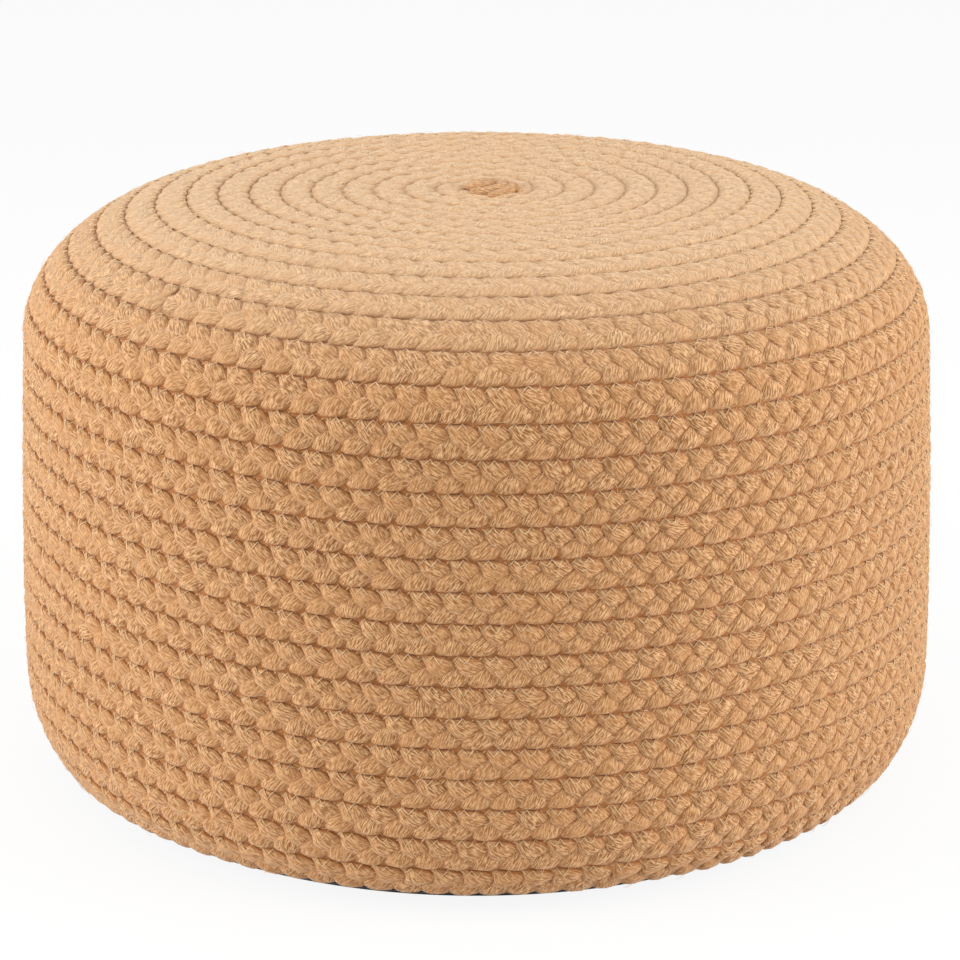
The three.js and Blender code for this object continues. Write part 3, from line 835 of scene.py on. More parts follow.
@dataclass
class Plait:
    """A length of the flat plait of three strands, wound along its rows.

    With t the angle through the plait's lay, a strand weaves from side to side as the sine of t plus a
    little of the sine of 3 t, which holds it at the edges. It rises and sinks as minus the sine of 2 t, so
    that it lies on top on its way in from either edge. The three strands are a third of a lay apart.
    A waver is a height and the spacing of its knots. Each kind of unevenness has seeds of its own, ten on
    from the last.
    """

    name: str
    node: str
    start: float
    end: float
    winding: Winding
    finish: YarnFinish
    seed: int
    samples: int = 60000
    lay: float = 44.0
    lay_wavers: tuple[Pair, Pair] = ((0.28, 41.0), (0.22, 173.0))
    fullness_waver: Pair = (0.07, 37.0)
    climb_waver: Pair = (0.08, 29.0)
    sway: float = 6.4
    edge_hold: float = -0.03
    rise: float = 1.9
    rise_lead: float = 8.0
    crown: float = 2.15
    worn_relief: float = 0.55
    worn_span: Pair = (-2.5, 2.5)
    top_sheen_span: Pair = (-2.5, 3.0)
    # The turns over which the top's painted sheen comes in.
    middle_shift: float = 0.6
    strand_width: float = 11.4
    strand_depth: float = 5.3
    lobe_width: float = 0.5
    free_share: float = 0.7
    squeeze: float = 0.3
    seam_drop: float = 0.3
    ring_spacing: float = 2.95
    face_angles: tuple[float, ...] = (0.0, 50.0, 105.0, 127.0, 152.0, 180.0, 208.0, 233.0, 255.0, 310.0)
    wide_power: float = 0.9
    deep_power: float = 0.72
    face_power: float = 2.4
    end_length: float = 5.0
    girth: float = 26.0
    yarn_slants: Pair = (-52.0, 42.0)
    slant_spread: float = 7.0
    lobe_start: float = 0.25
    bed_sides: int = 6
    bed_shade: float = 1.75
    bed_width: float = 7.0
    bed_depth: float = 3.0
    bed_lift: float = 0.8
    inner_bed_lift: float = 0.7
    inner_span: Pair = (3.5, 9.0)
    dive_shade: float = 0.22
    bulge: float = 0.0
    bulge_length: float = 9.0
    bulge_width: float = 8.0

    def __post_init__(self) -> None:
        """Measures the length along the row's middle once."""
        self._turns = np.linspace(self.start, self.end, self.samples)
        middle, _ = self.winding.place(self._turns, self.winding.row_middle(self._turns))
        self._lengths = lengths_along(middle)

    def length_at(self, turn: Array) -> Array:
        """The length along the row's middle from the start to each turn."""
        return np.interp(turn, self._turns, self._lengths)

    def turn_at(self, length: Array) -> Array:
        """The turn at each length along the row's middle."""
        return np.interp(length, self._lengths, self._turns)

    def angle(self, length: Array, strand: int) -> Array:
        """A strand's angle through the lay, a little uneven along the plait.

        Args:
            length: The length along the row's middle.
            strand: The strand's number, from 0.

        Returns:
            The angle at each length in radians.
        """
        uneven = sum(
            height * waver(length, spacing, self.seed + k)
            for k, (height, spacing) in enumerate(self.lay_wavers)
        )
        return 2 * math.pi * (length / self.lay + strand / 3) + uneven

    def weave(self, length: Array, turn: Array, strand: int) -> tuple[Array, Array, Array, Array]:
        """The strand's place across the row and its section there.

        Args:
            length: The length along the row's middle.
            turn: The turn there.
            strand: The strand's number, from 0.

        Returns:
            Its place across the row, its height over the middle surface, its width and its depth.
        """
        t = self.angle(length, strand)
        share, spacing = self.fullness_waver
        fullness = 1.0 + share * waver(length, spacing, self.seed + 10 + strand)
        scale = self.winding.row_width(turn) / self.winding.side_pitch
        weave = np.sin(t) + self.edge_hold * np.sin(3 * t)
        across = scale * (self.sway * weave + self.middle_shift * np.cos(t) ** 2)
        climb = -np.sin(2 * t + math.radians(self.rise_lead))
        relief = self.rise * (1.0 - self.worn_relief * smoothstep(-turn, *self.worn_span))
        share, spacing = self.climb_waver
        uneven = 1.0 + share * waver(length, spacing, self.seed + 20 + strand)
        height = self.crown + relief * (climb * uneven - 1.0)
        width = scale * fullness * (self.strand_width - self.lobe_width * np.sin(2 * t))
        depth = fullness * self.strand_depth
        full_start = self.bulge * np.exp(-((length / self.bulge_length) ** 2))
        return across, height + full_start, width * (1.0 + full_start / self.bulge_width), depth

    def press(self, turn: Array, across: Array, height: Array) -> tuple[Array, Array]:
        """Presses places on a strand into their row, as its neighbours do.

        With x the place across as a share of the row's half width, x keeps its value up to the free share.
        It goes on as that plus a squeeze times the hyperbolic tangent of what is over in squeezes, so that
        it never passes the seam. The height shrinks by a drop times x to the fourth power, which leaves a
        groove along the seam.

        Args:
            turn: The turn.
            across: The place across the row, from its middle.
            height: The height over the middle surface.

        Returns:
            The place across the row and the height as pressed.
        """
        limit = self.winding.row_width(turn) / 2
        share = np.abs(across) / limit
        over = np.tanh((share - self.free_share) / self.squeeze)
        pressed = np.where(share < self.free_share, share, self.free_share + self.squeeze * over)
        return np.sign(across) * pressed * limit, height * (1.0 - self.seam_drop * pressed**4)

    def bed_height(self, turn: Array) -> Array:
        """The height of the seam bed's middle, which is raised on the inner rows of the top."""
        return self.bed_lift + self.inner_bed_lift * smoothstep(-turn, *self.inner_span)

    def surface(self, turn: Array, across: Array) -> Array:
        """The height of the plait's outer face over the middle surface.

        It is the highest of the three strands' sections there, each a flattened ellipse about the strand's
        middle, and of the seam bed's top.

        Args:
            turn: The turn.
            across: The place across the row, from its middle.

        Returns:
            The height.
        """
        length = self.length_at(turn)
        best = np.broadcast_to(self.bed_height(turn) + self.bed_depth / 2, np.shape(across))
        for strand in range(3):
            middle, height, width, depth = self.weave(length, turn, strand)
            lean = np.arctan(2 * math.pi * self.sway / self.lay * np.cos(self.angle(length, strand)))
            aside = np.abs(across - middle) * np.cos(lean) / (width / 2)
            top = height + depth / 2 * np.sqrt(np.clip(1.0 - aside**self.face_power, 0.0, 1.0))
            best = np.where(aside < 1.0, np.maximum(best, top), best)
        return self.press(turn, across, best)[1]

    def strand(self, number: int) -> bpy.types.Object:
        """Builds one strand as a closed tube, rounded off at both ends.

        A ring lies square to the strand. With a an angle round it, its points lie minus half a width times
        a power of the sine of a across it, and minus half a depth times a power of the cosine over it.

        Args:
            number: The strand's number, from 0.

        Returns:
            The piece.
        """
        total = self._lengths[-1]
        rings = int(total / self.ring_spacing) + 1
        length = np.linspace(0.0, total, rings)
        middle, height, width, depth = self.weave(length, self.turn_at(length), number)
        lean = np.arctan(np.gradient(middle, length))[:, None]
        full = rounded_off((1.0 - np.minimum(length, total - length) / self.end_length).clip(0.0) ** 2)
        angle = np.radians(self.face_angles)
        sine, cosine = np.sin(angle), np.cos(angle)
        wide = -np.sign(sine) * np.abs(sine) ** self.wide_power * (width * full / 2)[:, None]
        deep = -np.sign(cosine) * np.abs(cosine) ** self.deep_power * (depth * full / 2)[:, None]
        turns = self.turn_at(np.clip(length[:, None] - np.sin(lean) * wide, 0.0, total))
        across, lift = self.press(turns, middle[:, None] + np.cos(lean) * wide, height[:, None] + deep)
        points, _ = self.winding.place(turns, self.winding.row_middle(turns) + across, lift)
        # How deep each point lies below its strand's top, and deeper where the strand dives: this sets its
        # painted crease shade.
        dive = self.dive_shade * (self.crown - height)[:, None]
        sunk = (height + depth / 2)[:, None] - lift + dive
        lobe = np.floor(self.angle(length, number) / math.pi - self.lobe_start).astype(int)
        random = np.random.default_rng(self.seed + 30 + number)
        tilt = random.normal(0.0, self.slant_spread, lobe.max() + 2)
        slant = np.radians(np.array(self.yarn_slants)[lobe % 2] + tilt[lobe])
        arc = self.girth * (np.append(angle, 2 * math.pi) / (2 * math.pi) - 0.5)
        uvs = slanted_uvs(length[:, None] - np.sin(lean) * arc, middle[:, None] + np.cos(lean) * arc, slant)
        # Each point also keeps its share of the top's painted sheen.
        return make_piece(
            f"{self.name}_strand_{number + 1}", points.reshape(-1, 3), tube_quads(rings, len(angle)), uvs,
            sunk=sunk, worn=smoothstep(-turns, *self.top_sheen_span))

    def bed(self) -> bpy.types.Object:
        """Builds the folded edges that fill the notches along a seam, as one flattened tube under it.

        A point of a ring is half a width times the cosine of its angle across the seam, and half a depth
        times the sine over its lift.

        Returns:
            The piece.
        """
        sides = self.bed_sides
        rings = int(self._lengths[-1] / self.ring_spacing / 2) + 1
        length = np.linspace(0.0, self._lengths[-1], rings)
        turn = self.turn_at(length)[:, None]
        angle = -np.arange(sides) * 2 * math.pi / sides
        across = np.broadcast_to(self.bed_width / 2 * np.cos(angle), (rings, sides))
        lift = self.bed_height(turn) + self.bed_depth / 2 * np.sin(angle)
        points, _ = self.winding.place(turn, self.winding.seam(turn) + across, lift)
        around = np.append(across, across[:, :1], axis=1)
        uvs = slanted_uvs(np.broadcast_to(length[:, None], around.shape), around, np.zeros(rings))
        # The bed is painted with a fixed depth of crease shade, and with the top's painted sheen over the
        # top.
        return make_piece(
            f"{self.name}_seam_bed", points.reshape(-1, 3), tube_quads(rings, sides), uvs,
            sunk=np.full(rings * sides, self.bed_shade),
            worn=np.broadcast_to(smoothstep(-turn, *self.top_sheen_span), (rings, sides)))

    def build(self) -> None:
        """Builds and dresses the three strands, and the bed under the seam before each row."""
        material = self.finish.material()
        for piece in [*(self.strand(k) for k in range(3)), self.bed()]:
            dress(piece, material, "cover", "braid", self.node)


@dataclass
class CentreKnot:
    """The lump in the middle of the top, where the braid begins: strands that curl inward over each other.

    Each arm's middle line is part of a spiral. With s its share from the tail to the middle, the radius is
    the outer radius times a power of (1 - s) plus the inner radius, the bearing runs on by a sweep times s,
    and the height follows the smoothstep of s from the tail's to the middle's. The spans are what the
    random draws lie between.
    """

    plait: Plait
    seed: int
    place: Pair = (8.5, -4.0)
    arms: int = 5
    outer_radius: float = 15.5
    inner_radius: float = 0.6
    curl_power: float = 0.8
    sweep: float = 165.0
    tail_lift: float = 3.5
    middle_lift: float = 6.2
    climb_share: float = 0.8
    tail_width: float = 8.0
    middle_width: float = 5.4
    depth: float = 6.2
    end_power: int = 8
    reach_span: Pair = (0.88, 1.06)
    place_span: Pair = (-0.22, 0.22)
    lift_span: Pair = (-1.1, 0.8)
    rings: int = 30
    sides: int = 12
    yarn_slant: float = 24.0
    pattern_step: float = 40.0
    # The first is added to how deep the knot's points are sunk, which sets their painted crease shade; the
    # second is the knot's share of the top's painted sheen.
    shade: float = 0.6
    tone: float = 0.2

    def arm(self, number: int, random: np.random.Generator) -> tuple[Array, Array, Array]:
        """Works out one of the knot's strands.

        Args:
            number: Its number, from 0.
            random: Where its unevenness is drawn from.

        Returns:
            Its points, the UV corners of its faces, and how deep each point is sunk, which sets its painted
            crease shade.
        """
        outline = self.plait.winding.outline
        share = np.linspace(0.0, 1.0, self.rings)
        reach = self.outer_radius * random.uniform(*self.reach_span)
        radius = reach * (1.0 - share) ** self.curl_power + self.inner_radius
        first = 360.0 / self.arms * (number + random.uniform(*self.place_span))
        bearing = np.radians(first + self.sweep * share)
        climb = (self.middle_lift - self.tail_lift) * smoothstep(share, 0.0, self.climb_share)
        lift = self.tail_lift + climb + random.uniform(*self.lift_span)
        height = outline.height - outline.braid_thickness / 2 + lift
        x, y = self.place[0] + radius * np.sin(bearing), self.place[1] - radius * np.cos(bearing)
        middle = np.stack([x, y, height], -1)
        along = unit(np.gradient(middle, axis=0))
        aside = unit(np.cross(along, np.array([0.0, 0.0, 1.0])))[:, None]
        angle = -(np.arange(self.sides) * 2 * math.pi / self.sides)[:, None]
        width = (self.tail_width + (self.middle_width - self.tail_width) * share)[:, None, None]
        ring = aside * np.cos(angle) * width / 2
        ring = ring + np.cross(aside, along[:, None]) * np.sin(angle) * self.depth / 2
        points = middle[:, None] + ring * rounded_off((2 * share - 1.0) ** self.end_power)[:, None, None]
        length = lengths_along(middle)[:, None] + self.pattern_step * number
        arc = (np.arange(self.sides + 1) / self.sides - 0.5) * math.pi * (self.tail_width + self.depth) / 2
        slants = np.full(self.rings, math.radians(self.yarn_slant))
        uvs = slanted_uvs(*np.broadcast_arrays(length, arc), slants)
        return points, uvs, height[:, None] + self.shade - points[..., 2]

    def build(self) -> None:
        """Builds and dresses the knot as one piece of several closed strands."""
        random = np.random.default_rng(self.seed)
        arms = [self.arm(number, random) for number in range(self.arms)]
        points, uvs, sunk = (np.concatenate(part) for part in zip(*arms))
        quads = np.concatenate([
            tube_quads(self.rings, self.sides) + number * self.rings * self.sides
            for number in range(self.arms)
        ])
        # The whole knot takes a little of the top's painted sheen.
        worn = np.full(sunk.size, self.tone)
        piece = make_piece("centre_knot", points.reshape(-1, 3), quads, uvs, sunk=sunk, worn=worn)
        dress(piece, self.plait.finish.material(), "cover", "braid")


@dataclass
class SeamThread:
    """The thread that sews a row to the one before it, in a zigzag that shows just below the seam.

    Its corners lie by turns a little above the seam and a reach below that, and halfway along each leg the
    thread rides over the plait's outer face. The shares of the reach, and the rises over the face in
    thicknesses, are those at the four quarters of a stitch.
    """

    name: str
    plait: Plait
    start: float
    end: float
    finish: ThreadFinish
    seed: int
    pitch: float = 6.0
    above: float = 0.3
    reach: float = 3.3
    uneven: float = 0.6
    slip: float = 0.25
    shares: tuple[float, ...] = (0.0, 0.5, 1.0, 0.5)
    rises: tuple[float, ...] = (-0.5, 0.45, -0.1, 0.45)
    radius: float = 0.27
    sides: int = 4

    def build(self) -> None:
        """Builds and dresses the thread."""
        winding = self.plait.winding
        turns = np.linspace(self.start, self.end, self.plait.samples)
        lengths = lengths_along(winding.place(turns, winding.seam(turns))[0])
        spacing = self.pitch / 4
        count = int(lengths[-1] / spacing)
        random = np.random.default_rng(self.seed)
        place = np.arange(count) * spacing + random.uniform(-self.slip, self.slip, count)
        turn = np.interp(place, lengths, turns)
        step = np.arange(count) % 4
        reach = self.reach + self.uneven * random.uniform(-1.0, 1.0, count)
        run = winding.seam(turn) - self.above + np.choose(step, self.shares) * reach
        face = self.plait.surface(turn, run - winding.row_middle(turn))
        rise = np.choose(step, self.rises) * self.radius * 2
        centres, normals = winding.place(turn, run, face + rise)
        points, quads = thin_tubes(
            centres[None], normals[None], np.full((1, count), self.radius), self.sides)
        dress(make_piece(self.name, points, quads), self.finish.material(), "cover", "braid")


@dataclass
class LooseFibres:
    """Fine ends of fibre that have worked out of the yarn and stand a little off it.

    Each is a hair of three rings that starts in the plait's face, runs in a slant over it and lifts. Angles
    are in degrees, the spread is a share of the row's width, and the taper holds a share for each ring.
    """

    name: str
    plait: Plait
    finish: ThreadFinish
    count: int
    seed: int
    margin: float = 10.0
    spread: float = 0.46
    slant: float = 75.0
    bend: float = 30.0
    bend_share: float = 0.5
    length: Pair = (3.5, 9.0)
    lift: Pair = (0.1, 1.4)
    root_depth: float = 0.5
    middle_lift: float = 0.7
    radius: float = 0.085
    taper: tuple[float, float, float] = (1.0, 1.0, 0.4)
    sides: int = 4

    def build(self) -> None:
        """Builds and dresses the hairs."""
        random = np.random.default_rng(self.seed)
        winding = self.plait.winding
        total = self.plait.length_at(self.plait.end)
        root = random.uniform(self.margin, total - self.margin, self.count)
        across = random.uniform(-self.spread, self.spread, self.count) * winding.side_pitch
        slant = np.radians(random.uniform(-self.slant, self.slant, self.count))
        slant = slant + math.pi * random.integers(0, 2, self.count)
        length = random.uniform(*self.length, self.count)
        bend = np.radians(random.normal(0.0, self.bend, self.count))
        step = length[:, None] * np.array([0.0, 0.5, 1.0])
        course = slant[:, None] + bend[:, None] * np.array([0.0, 0.0, self.bend_share])
        turn = self.plait.turn_at(np.clip(root[:, None] + step * np.cos(course), 0.0, total))
        sideways = across[:, None] + step * np.sin(course)
        height = self.plait.surface(turn[:, 0], across)
        raised = random.uniform(*self.lift, self.count)
        sunk = np.full(self.count, -self.root_depth)
        lift = height[:, None] + np.stack([sunk, raised * self.middle_lift, raised], -1)
        centres, normals = winding.place(turn, winding.row_middle(turn[:, :1]) + sideways, lift)
        radius = self.radius * np.broadcast_to(np.array(self.taper), (self.count, 3))
        points, quads = thin_tubes(centres, normals, radius, self.sides)
        dress(make_piece(self.name, points, quads), self.finish.material(), "cover", "braid")


class Half(Enum):
    """One half of the base, by the side of the zip that it lies on."""

    FRONT = "front"
    BACK = "back"

    @property
    def side(self) -> int:
        """The sign of y on this half."""
        return -1 if self is Half.FRONT else 1


@dataclass
class BaseCloth:
    """The dark cloth under the pouf, in two halves that the zip joins.

    A half is a ruled surface in plan, from the edge along the zip to the foot's circle, raised into a tray
    round the zip by smooth ramps. Its rows lie at a power of even shares. From the circle it goes on up the
    foot's quarter ellipse, and its depth below the skin grows to the hem's where it passes behind the last
    row. The last three spans are shares of the quarter's turn.
    """

    winding: Winding
    finish: ClothFinish
    thread: ThreadFinish
    thickness: float = 1.5
    tray_rise: float = 8.463
    tray_half_length: float = 186.9
    tray_half_width: float = 22.2
    ramp: float = 14.0
    slot_start: float = -158.3
    slot_end: float = 169.2
    slot_half_width: float = 9.1
    seam_half_gap: float = 0.2
    columns: int = 241
    flat_rows: int = 64
    row_power: float = 1.25
    rim_rows: int = 18
    tuck: float = 9.0
    allowance: float = 16.0
    rim_depth: float = 3.2
    hem_depth: float = 9.5
    end_span: Pair = (0.001, 0.013)
    hem_span: Pair = (-0.03, 0.04)
    ground_span: Pair = (0.0, 0.06)
    rim_span: Pair = (0.9, 1.0)
    stitch: float = 3.4
    stitch_pitch: float = 4.6
    stitch_start: float = 0.1
    stitch_bow: float = 0.5
    stitch_rings: int = 5
    stitch_radius: float = 0.3
    stitch_rows: tuple[float, ...] = (11.2, 17.8)

    def over_tray(self, points: Array, spread: float = 0.0) -> Array:
        """How far places are up the tray's ramps: the smoothstep of the share of a ramp that is passed.

        Args:
            points: The places, of which only x and y count.
            spread: How much wider than the tray the raised part is, on each side.

        Returns:
            A share for each place, 1 over the tray.
        """
        half = np.array([self.tray_half_length + spread, self.tray_half_width + spread])
        inside = (half - np.abs(points[..., :2])).min(-1)
        return smoothstep(inside, -self.ramp, 0.0)

    def lower_seam_run(self, bearing: Array) -> Array:
        """The run of the lowest seam, eased over the last of the winding before its end.

        Args:
            bearing: The bearings as shares of a circle.

        Returns:
            The run at each bearing.
        """
        last = self.winding.last_turn
        before = np.mod(last - np.asarray(bearing), 1.0)
        lowest = self.winding.seam(last - before + 1.0)
        ease = 1.0 - smoothstep(before, *self.end_span)
        return lowest - ease * (self.winding.seam(last + 1.0) - self.winding.seam(last))

    def half_grid(self, half: Half) -> Array:
        """The outer skin of one half.

        Args:
            half: Which half.

        Returns:
            Its points as rows from the zip outward by columns along the zip.
        """
        outline = self.winding.outline
        end = math.asin(2 * self.seam_half_gap / outline.foot_radius) / (2 * math.pi)
        bearing = np.linspace(end - 0.25, 0.25 - end, self.columns) + (0.5 if half is Half.BACK else 0.0)
        circle = np.stack([np.sin(2 * math.pi * bearing), -np.cos(2 * math.pi * bearing)], -1)
        rim = outline.foot_radius * circle
        in_slot = (rim[:, 0] > self.slot_start) & (rim[:, 0] < self.slot_end)
        edge_y = half.side * np.where(in_slot, self.slot_half_width, self.seam_half_gap)
        edge = np.stack([rim[:, 0], edge_y], -1)
        out = (np.linspace(0.0, 1.0, self.flat_rows) ** self.row_power)[:, None, None]
        plan = edge + (rim - edge) * out
        flat = np.concatenate([plan, self.tray_rise * self.over_tray(plan)[..., None]], -1)
        foot_runs = outline.middle()[0][-outline.steps:]
        shares = np.linspace(0.0, 1.0, outline.steps)
        lowest = np.interp(self.lower_seam_run(bearing), foot_runs, shares)
        top = np.interp(self.lower_seam_run(bearing) - self.tuck, foot_runs, shares)
        steps = np.linspace(0.0, 1.0, self.rim_rows + 1)[1:, None]
        at = 1.0 + (top - 1.0) * steps
        hidden = smoothstep(lowest - at, *self.hem_span) * smoothstep(1.0 - at, *self.ground_span)
        shown = self.rim_depth * (1.0 - smoothstep(at, *self.rim_span))
        climb = outline.foot(at, shown + (self.hem_depth - shown) * hidden)
        rise = np.concatenate([climb[..., :1] * circle, climb[..., 1:]], -1)
        return np.concatenate([flat, rise])

    def panel(self, half: Half) -> None:
        """Builds and dresses one half.

        Args:
            half: Which half.
        """
        points, quads = shell(self.half_grid(half), self.thickness)
        piece = make_piece(f"base_{half.value}", points, quads)
        dress(piece, self.finish.material(), "cover", "base_cloth", f"base_panel_{half.value}")
        mesh_area(piece) / 2

    def stitches(self) -> None:
        """Builds the rows of stitches that hold the tapes, as short bowed threads sunk at both ends."""
        count = int((self.slot_end - self.slot_start) / self.stitch_pitch)
        start = self.slot_start + self.stitch_pitch * (np.arange(count) + self.stitch_start)
        share = np.linspace(0.0, 1.0, self.stitch_rings)
        x = start[:, None] + self.stitch * share
        height = self.tray_rise - self.stitch_bow * (np.sin(math.pi * share) - 0.5)
        centres = np.concatenate([
            np.stack([x, np.full_like(x, side * y), np.broadcast_to(height, x.shape)], -1)
            for side in (-1, 1) for y in self.stitch_rows
        ])
        facing = np.broadcast_to(np.array([0.0, 0.0, 1.0]), centres.shape)
        points, quads = thin_tubes(centres, facing, np.full(centres.shape[:2], self.stitch_radius), 4)
        dress(make_piece("tape_stitches", points, quads), self.thread.material(), "cover", "base_cloth")

    def build(self) -> None:
        """Builds both halves and their stitches."""
        for half in Half:
            self.panel(half)
        self.stitches()


@dataclass
class ZipTapes:
    """The two woven tapes of the zip, each a strip that waves a little along its outer edge.

    Between the stops a tape keeps clear of the teeth, and past them the two tapes all but meet. The counts
    are the columns before, along and past the stretch that is open.
    """

    finish: ClothFinish
    start: float = -170.3
    end: float = 181.2
    open_from: float = -154.5
    open_to: float = 161.5
    turn_out: float = 0.3
    counts: tuple[int, int, int] = (12, 200, 14)
    rows: int = 9
    inner: float = 5.2
    meeting: float = 0.2
    width: float = 15.0
    low: float = 10.263
    thickness: float = 0.8
    wave: float = 0.12
    wave_spacing: float = 23.0
    seed: int = 50

    def build(self) -> None:
        """Builds and dresses both tapes."""
        before, beside, past = self.counts
        columns = np.concatenate([
            np.linspace(self.start, self.open_from, before),
            np.linspace(self.open_from + self.turn_out, self.open_to - self.turn_out, beside),
            np.linspace(self.open_to, self.end, past),
        ])
        share = np.linspace(0.0, 1.0, self.rows)
        for half in Half:
            along = columns[::-half.side]
            clear = (along > self.open_from) & (along < self.open_to)
            x, out = np.broadcast_arrays(along, share[:, None])
            waves = waver(x - self.start, self.wave_spacing, self.seed + half.side)
            height = self.low + self.wave * out * (1.0 + waves)
            edge = np.where(clear, self.inner, self.meeting)
            skin = np.stack([x, half.side * (edge + out * (self.inner + self.width - edge)), height], -1)
            piece = make_piece(f"tape_{half.value}", *shell(skin, self.thickness))
            dress(piece, self.finish.material(), "cover", "zip_tape", f"zip_tape_{half.value}")


@dataclass
class Bag:
    """The inner bag in three sewn panels, turned shells that are drawn in a little by wrinkles.

    A panel's outside follows the body's outline at the bag's depth, and its inside comes back a cloth's
    thickness deeper. The lowest panel is lifted over the zip. A wrinkle deepens the skin by a product of two
    random curves, one up the bag and one round it, whose spacings are counted in rings and in points of a
    ring. The tuples of rings count those of a panel's stretches in their order.
    """

    winding: Winding
    base: BaseCloth
    cloth: ClothFinish
    beads: BeadFinish
    depth: float = 10.95
    cloth_thickness: float = 1.0
    floor: float = 2.0
    fill_gap: float = 0.55
    seam_share: float = 0.45
    seam_gap: float = 0.005
    wrinkle: float = 0.3
    wrinkle_spacings: Pair = (7.0, 5.0)
    tray_rise: float = 15.06
    tray_spread: float = 2.0
    fill_tray_spread: float = 1.5
    settle_from: float = 0.9
    centre: float = 0.5
    fill_centre: float = 2.0
    sides: int = 192
    top_rings: tuple[int, int] = (26, 30)
    side_rings: tuple[int, int, int] = (20, 44, 24)
    base_rings: tuple[int, int] = (70, 24)
    fill_rings: tuple[int, int, int, int, int] = (70, 30, 50, 40, 40)

    def foot(self, start: float, end: float, count: int, depth: float, floor: float) -> Array:
        """Points of a layer round the foot, whose depth goes over to its height on the ground.

        Args:
            start: The share of the foot's quarter turn at its first point.
            end: The share at its last point.
            count: How many points it has.
            depth: The depth below the skin.
            floor: The height on the ground.

        Returns:
            The radius and height of each point.
        """
        share = np.linspace(start, end, count)
        inset = depth + (floor - depth) * smoothstep(share, self.settle_from, 1.0)
        return self.winding.outline.foot(share, inset)

    def drawn(self, profile: Array, seed: int) -> Array:
        """A turned profile with its wrinkles, which die away at its ends.

        Args:
            profile: The radius and height of each ring.
            seed: The seed of its wrinkles.

        Returns:
            The radius and height of each point, as rings by sides by 2.
        """
        rows = len(profile)
        up_spacing, round_spacing = self.wrinkle_spacings
        across = np.abs(waver(np.arange(rows), up_spacing, seed))
        bearing = np.arange(self.sides + 1)
        around = waver(bearing, round_spacing, seed + 1)
        around = (around - (around[-1] - around[0]) * bearing / self.sides)[:-1]
        fade = np.sin(math.pi * np.linspace(0.0, 1.0, rows)) ** 0.5
        depth = self.wrinkle * (fade * across)[:, None] * np.abs(around)
        return np.stack([profile[:, None, 0] - depth, np.broadcast_to(profile[:, 1:], depth.shape)], -1)

    def raised(self, points: Array, above: float, spread: float) -> Array:
        """Lifts points over the zip's tray.

        Args:
            points: The points.
            above: The height to which they are lifted.
            spread: How much wider than the tray the lifted part is, on each side.

        Returns:
            The points as lifted.
        """
        lifted = points.copy()
        share = self.base.over_tray(points, spread)
        lifted[..., 2] += (above - points[..., 2]) * share * (points[..., 2] < above)
        return lifted

    def panel(self, name: str, lines: list[Array], seed: int, over_zip: bool, looped: bool) -> None:
        """Builds and dresses one panel.

        Args:
            name: Its name, which is the node's too.
            lines: The profiles of its outer and inner skins, in the same order.
            seed: The seed of its wrinkles.
            over_zip: Whether it is lifted over the zip.
            looped: Whether it is a ring, and not closed at the axis.
        """
        outer, inner = (lathe(self.drawn(line, seed), self.sides) for line in lines)
        if over_zip:
            outer, inner = (
                self.raised(skin, self.tray_rise + k * self.cloth_thickness, self.tray_spread + k)
                for k, skin in enumerate((outer, inner))
            )
        points = np.concatenate([outer, inner[::-1]])
        quads = (loop_quads if looped else tube_quads)(len(points), self.sides)
        piece = make_piece(f"{name}_panel", points.reshape(-1, 3), quads)
        dress(piece, self.cloth.material(), "cover", "bag_cloth", name)
        area = mesh_area(piece) / 2

    def build(self) -> None:
        """Builds the filling and the three panels round it."""
        outline = self.winding.outline
        self.filling()
        skins = [(self.depth + k * self.cloth_thickness, self.floor + k * self.cloth_thickness)
                 for k in range(2)]
        bend, level = self.top_rings
        self.panel("bag_top", [
            np.concatenate([
                outline.shoulder(np.linspace(self.seam_share, 0.0, bend), depth),
                level_line(outline.top_flat_radius, self.centre, level, outline.height - depth)[1:],
            ]) for depth, _ in skins
        ], seed=61, over_zip=False, looped=False)
        low, upright, bend = self.side_rings
        self.panel("bag_side", [
            np.concatenate([
                self.foot(self.seam_share, 0.0, low, depth, floor),
                outline.wall(np.linspace(1.0, 0.0, upright)[1:], depth),
                outline.shoulder(np.linspace(1.0, self.seam_share + self.seam_gap, bend)[1:], depth),
            ]) for depth, floor in skins
        ], seed=67, over_zip=False, looped=True)
        level, low = self.base_rings
        self.panel("bag_base", [
            np.concatenate([
                level_line(self.centre, outline.foot_radius, level, floor)[:-1],
                self.foot(1.0, self.seam_share + 2 * self.seam_gap, low, depth, floor),
            ]) for depth, floor in skins
        ], seed=71, over_zip=True, looped=False)

    def filling(self) -> None:
        """Builds and dresses the beads, one closed turned body inside the bag."""
        outline = self.winding.outline
        depth = self.depth + self.cloth_thickness + self.fill_gap
        floor = self.floor + self.cloth_thickness + self.fill_gap
        under, low, upright, bend, level = self.fill_rings
        profile = np.concatenate([
            level_line(self.fill_centre, outline.foot_radius, under, floor)[:-1],
            self.foot(1.0, 0.0, low, depth, floor),
            outline.wall(np.linspace(1.0, 0.0, upright)[1:], depth),
            outline.shoulder(np.linspace(1.0, 0.0, bend)[1:], depth),
            level_line(outline.top_flat_radius, self.fill_centre, level, outline.height - depth)[1:],
        ])
        points = self.raised(
            lathe(self.drawn(profile, seed=79), self.sides),
            self.tray_rise + self.cloth_thickness + self.fill_gap, self.tray_spread + self.fill_tray_spread)
        piece = make_piece("bead_filling", points.reshape(-1, 3), tube_quads(len(points), self.sides))
        dress(piece, self.beads.material(), "cover", "beads", "bead_fill")


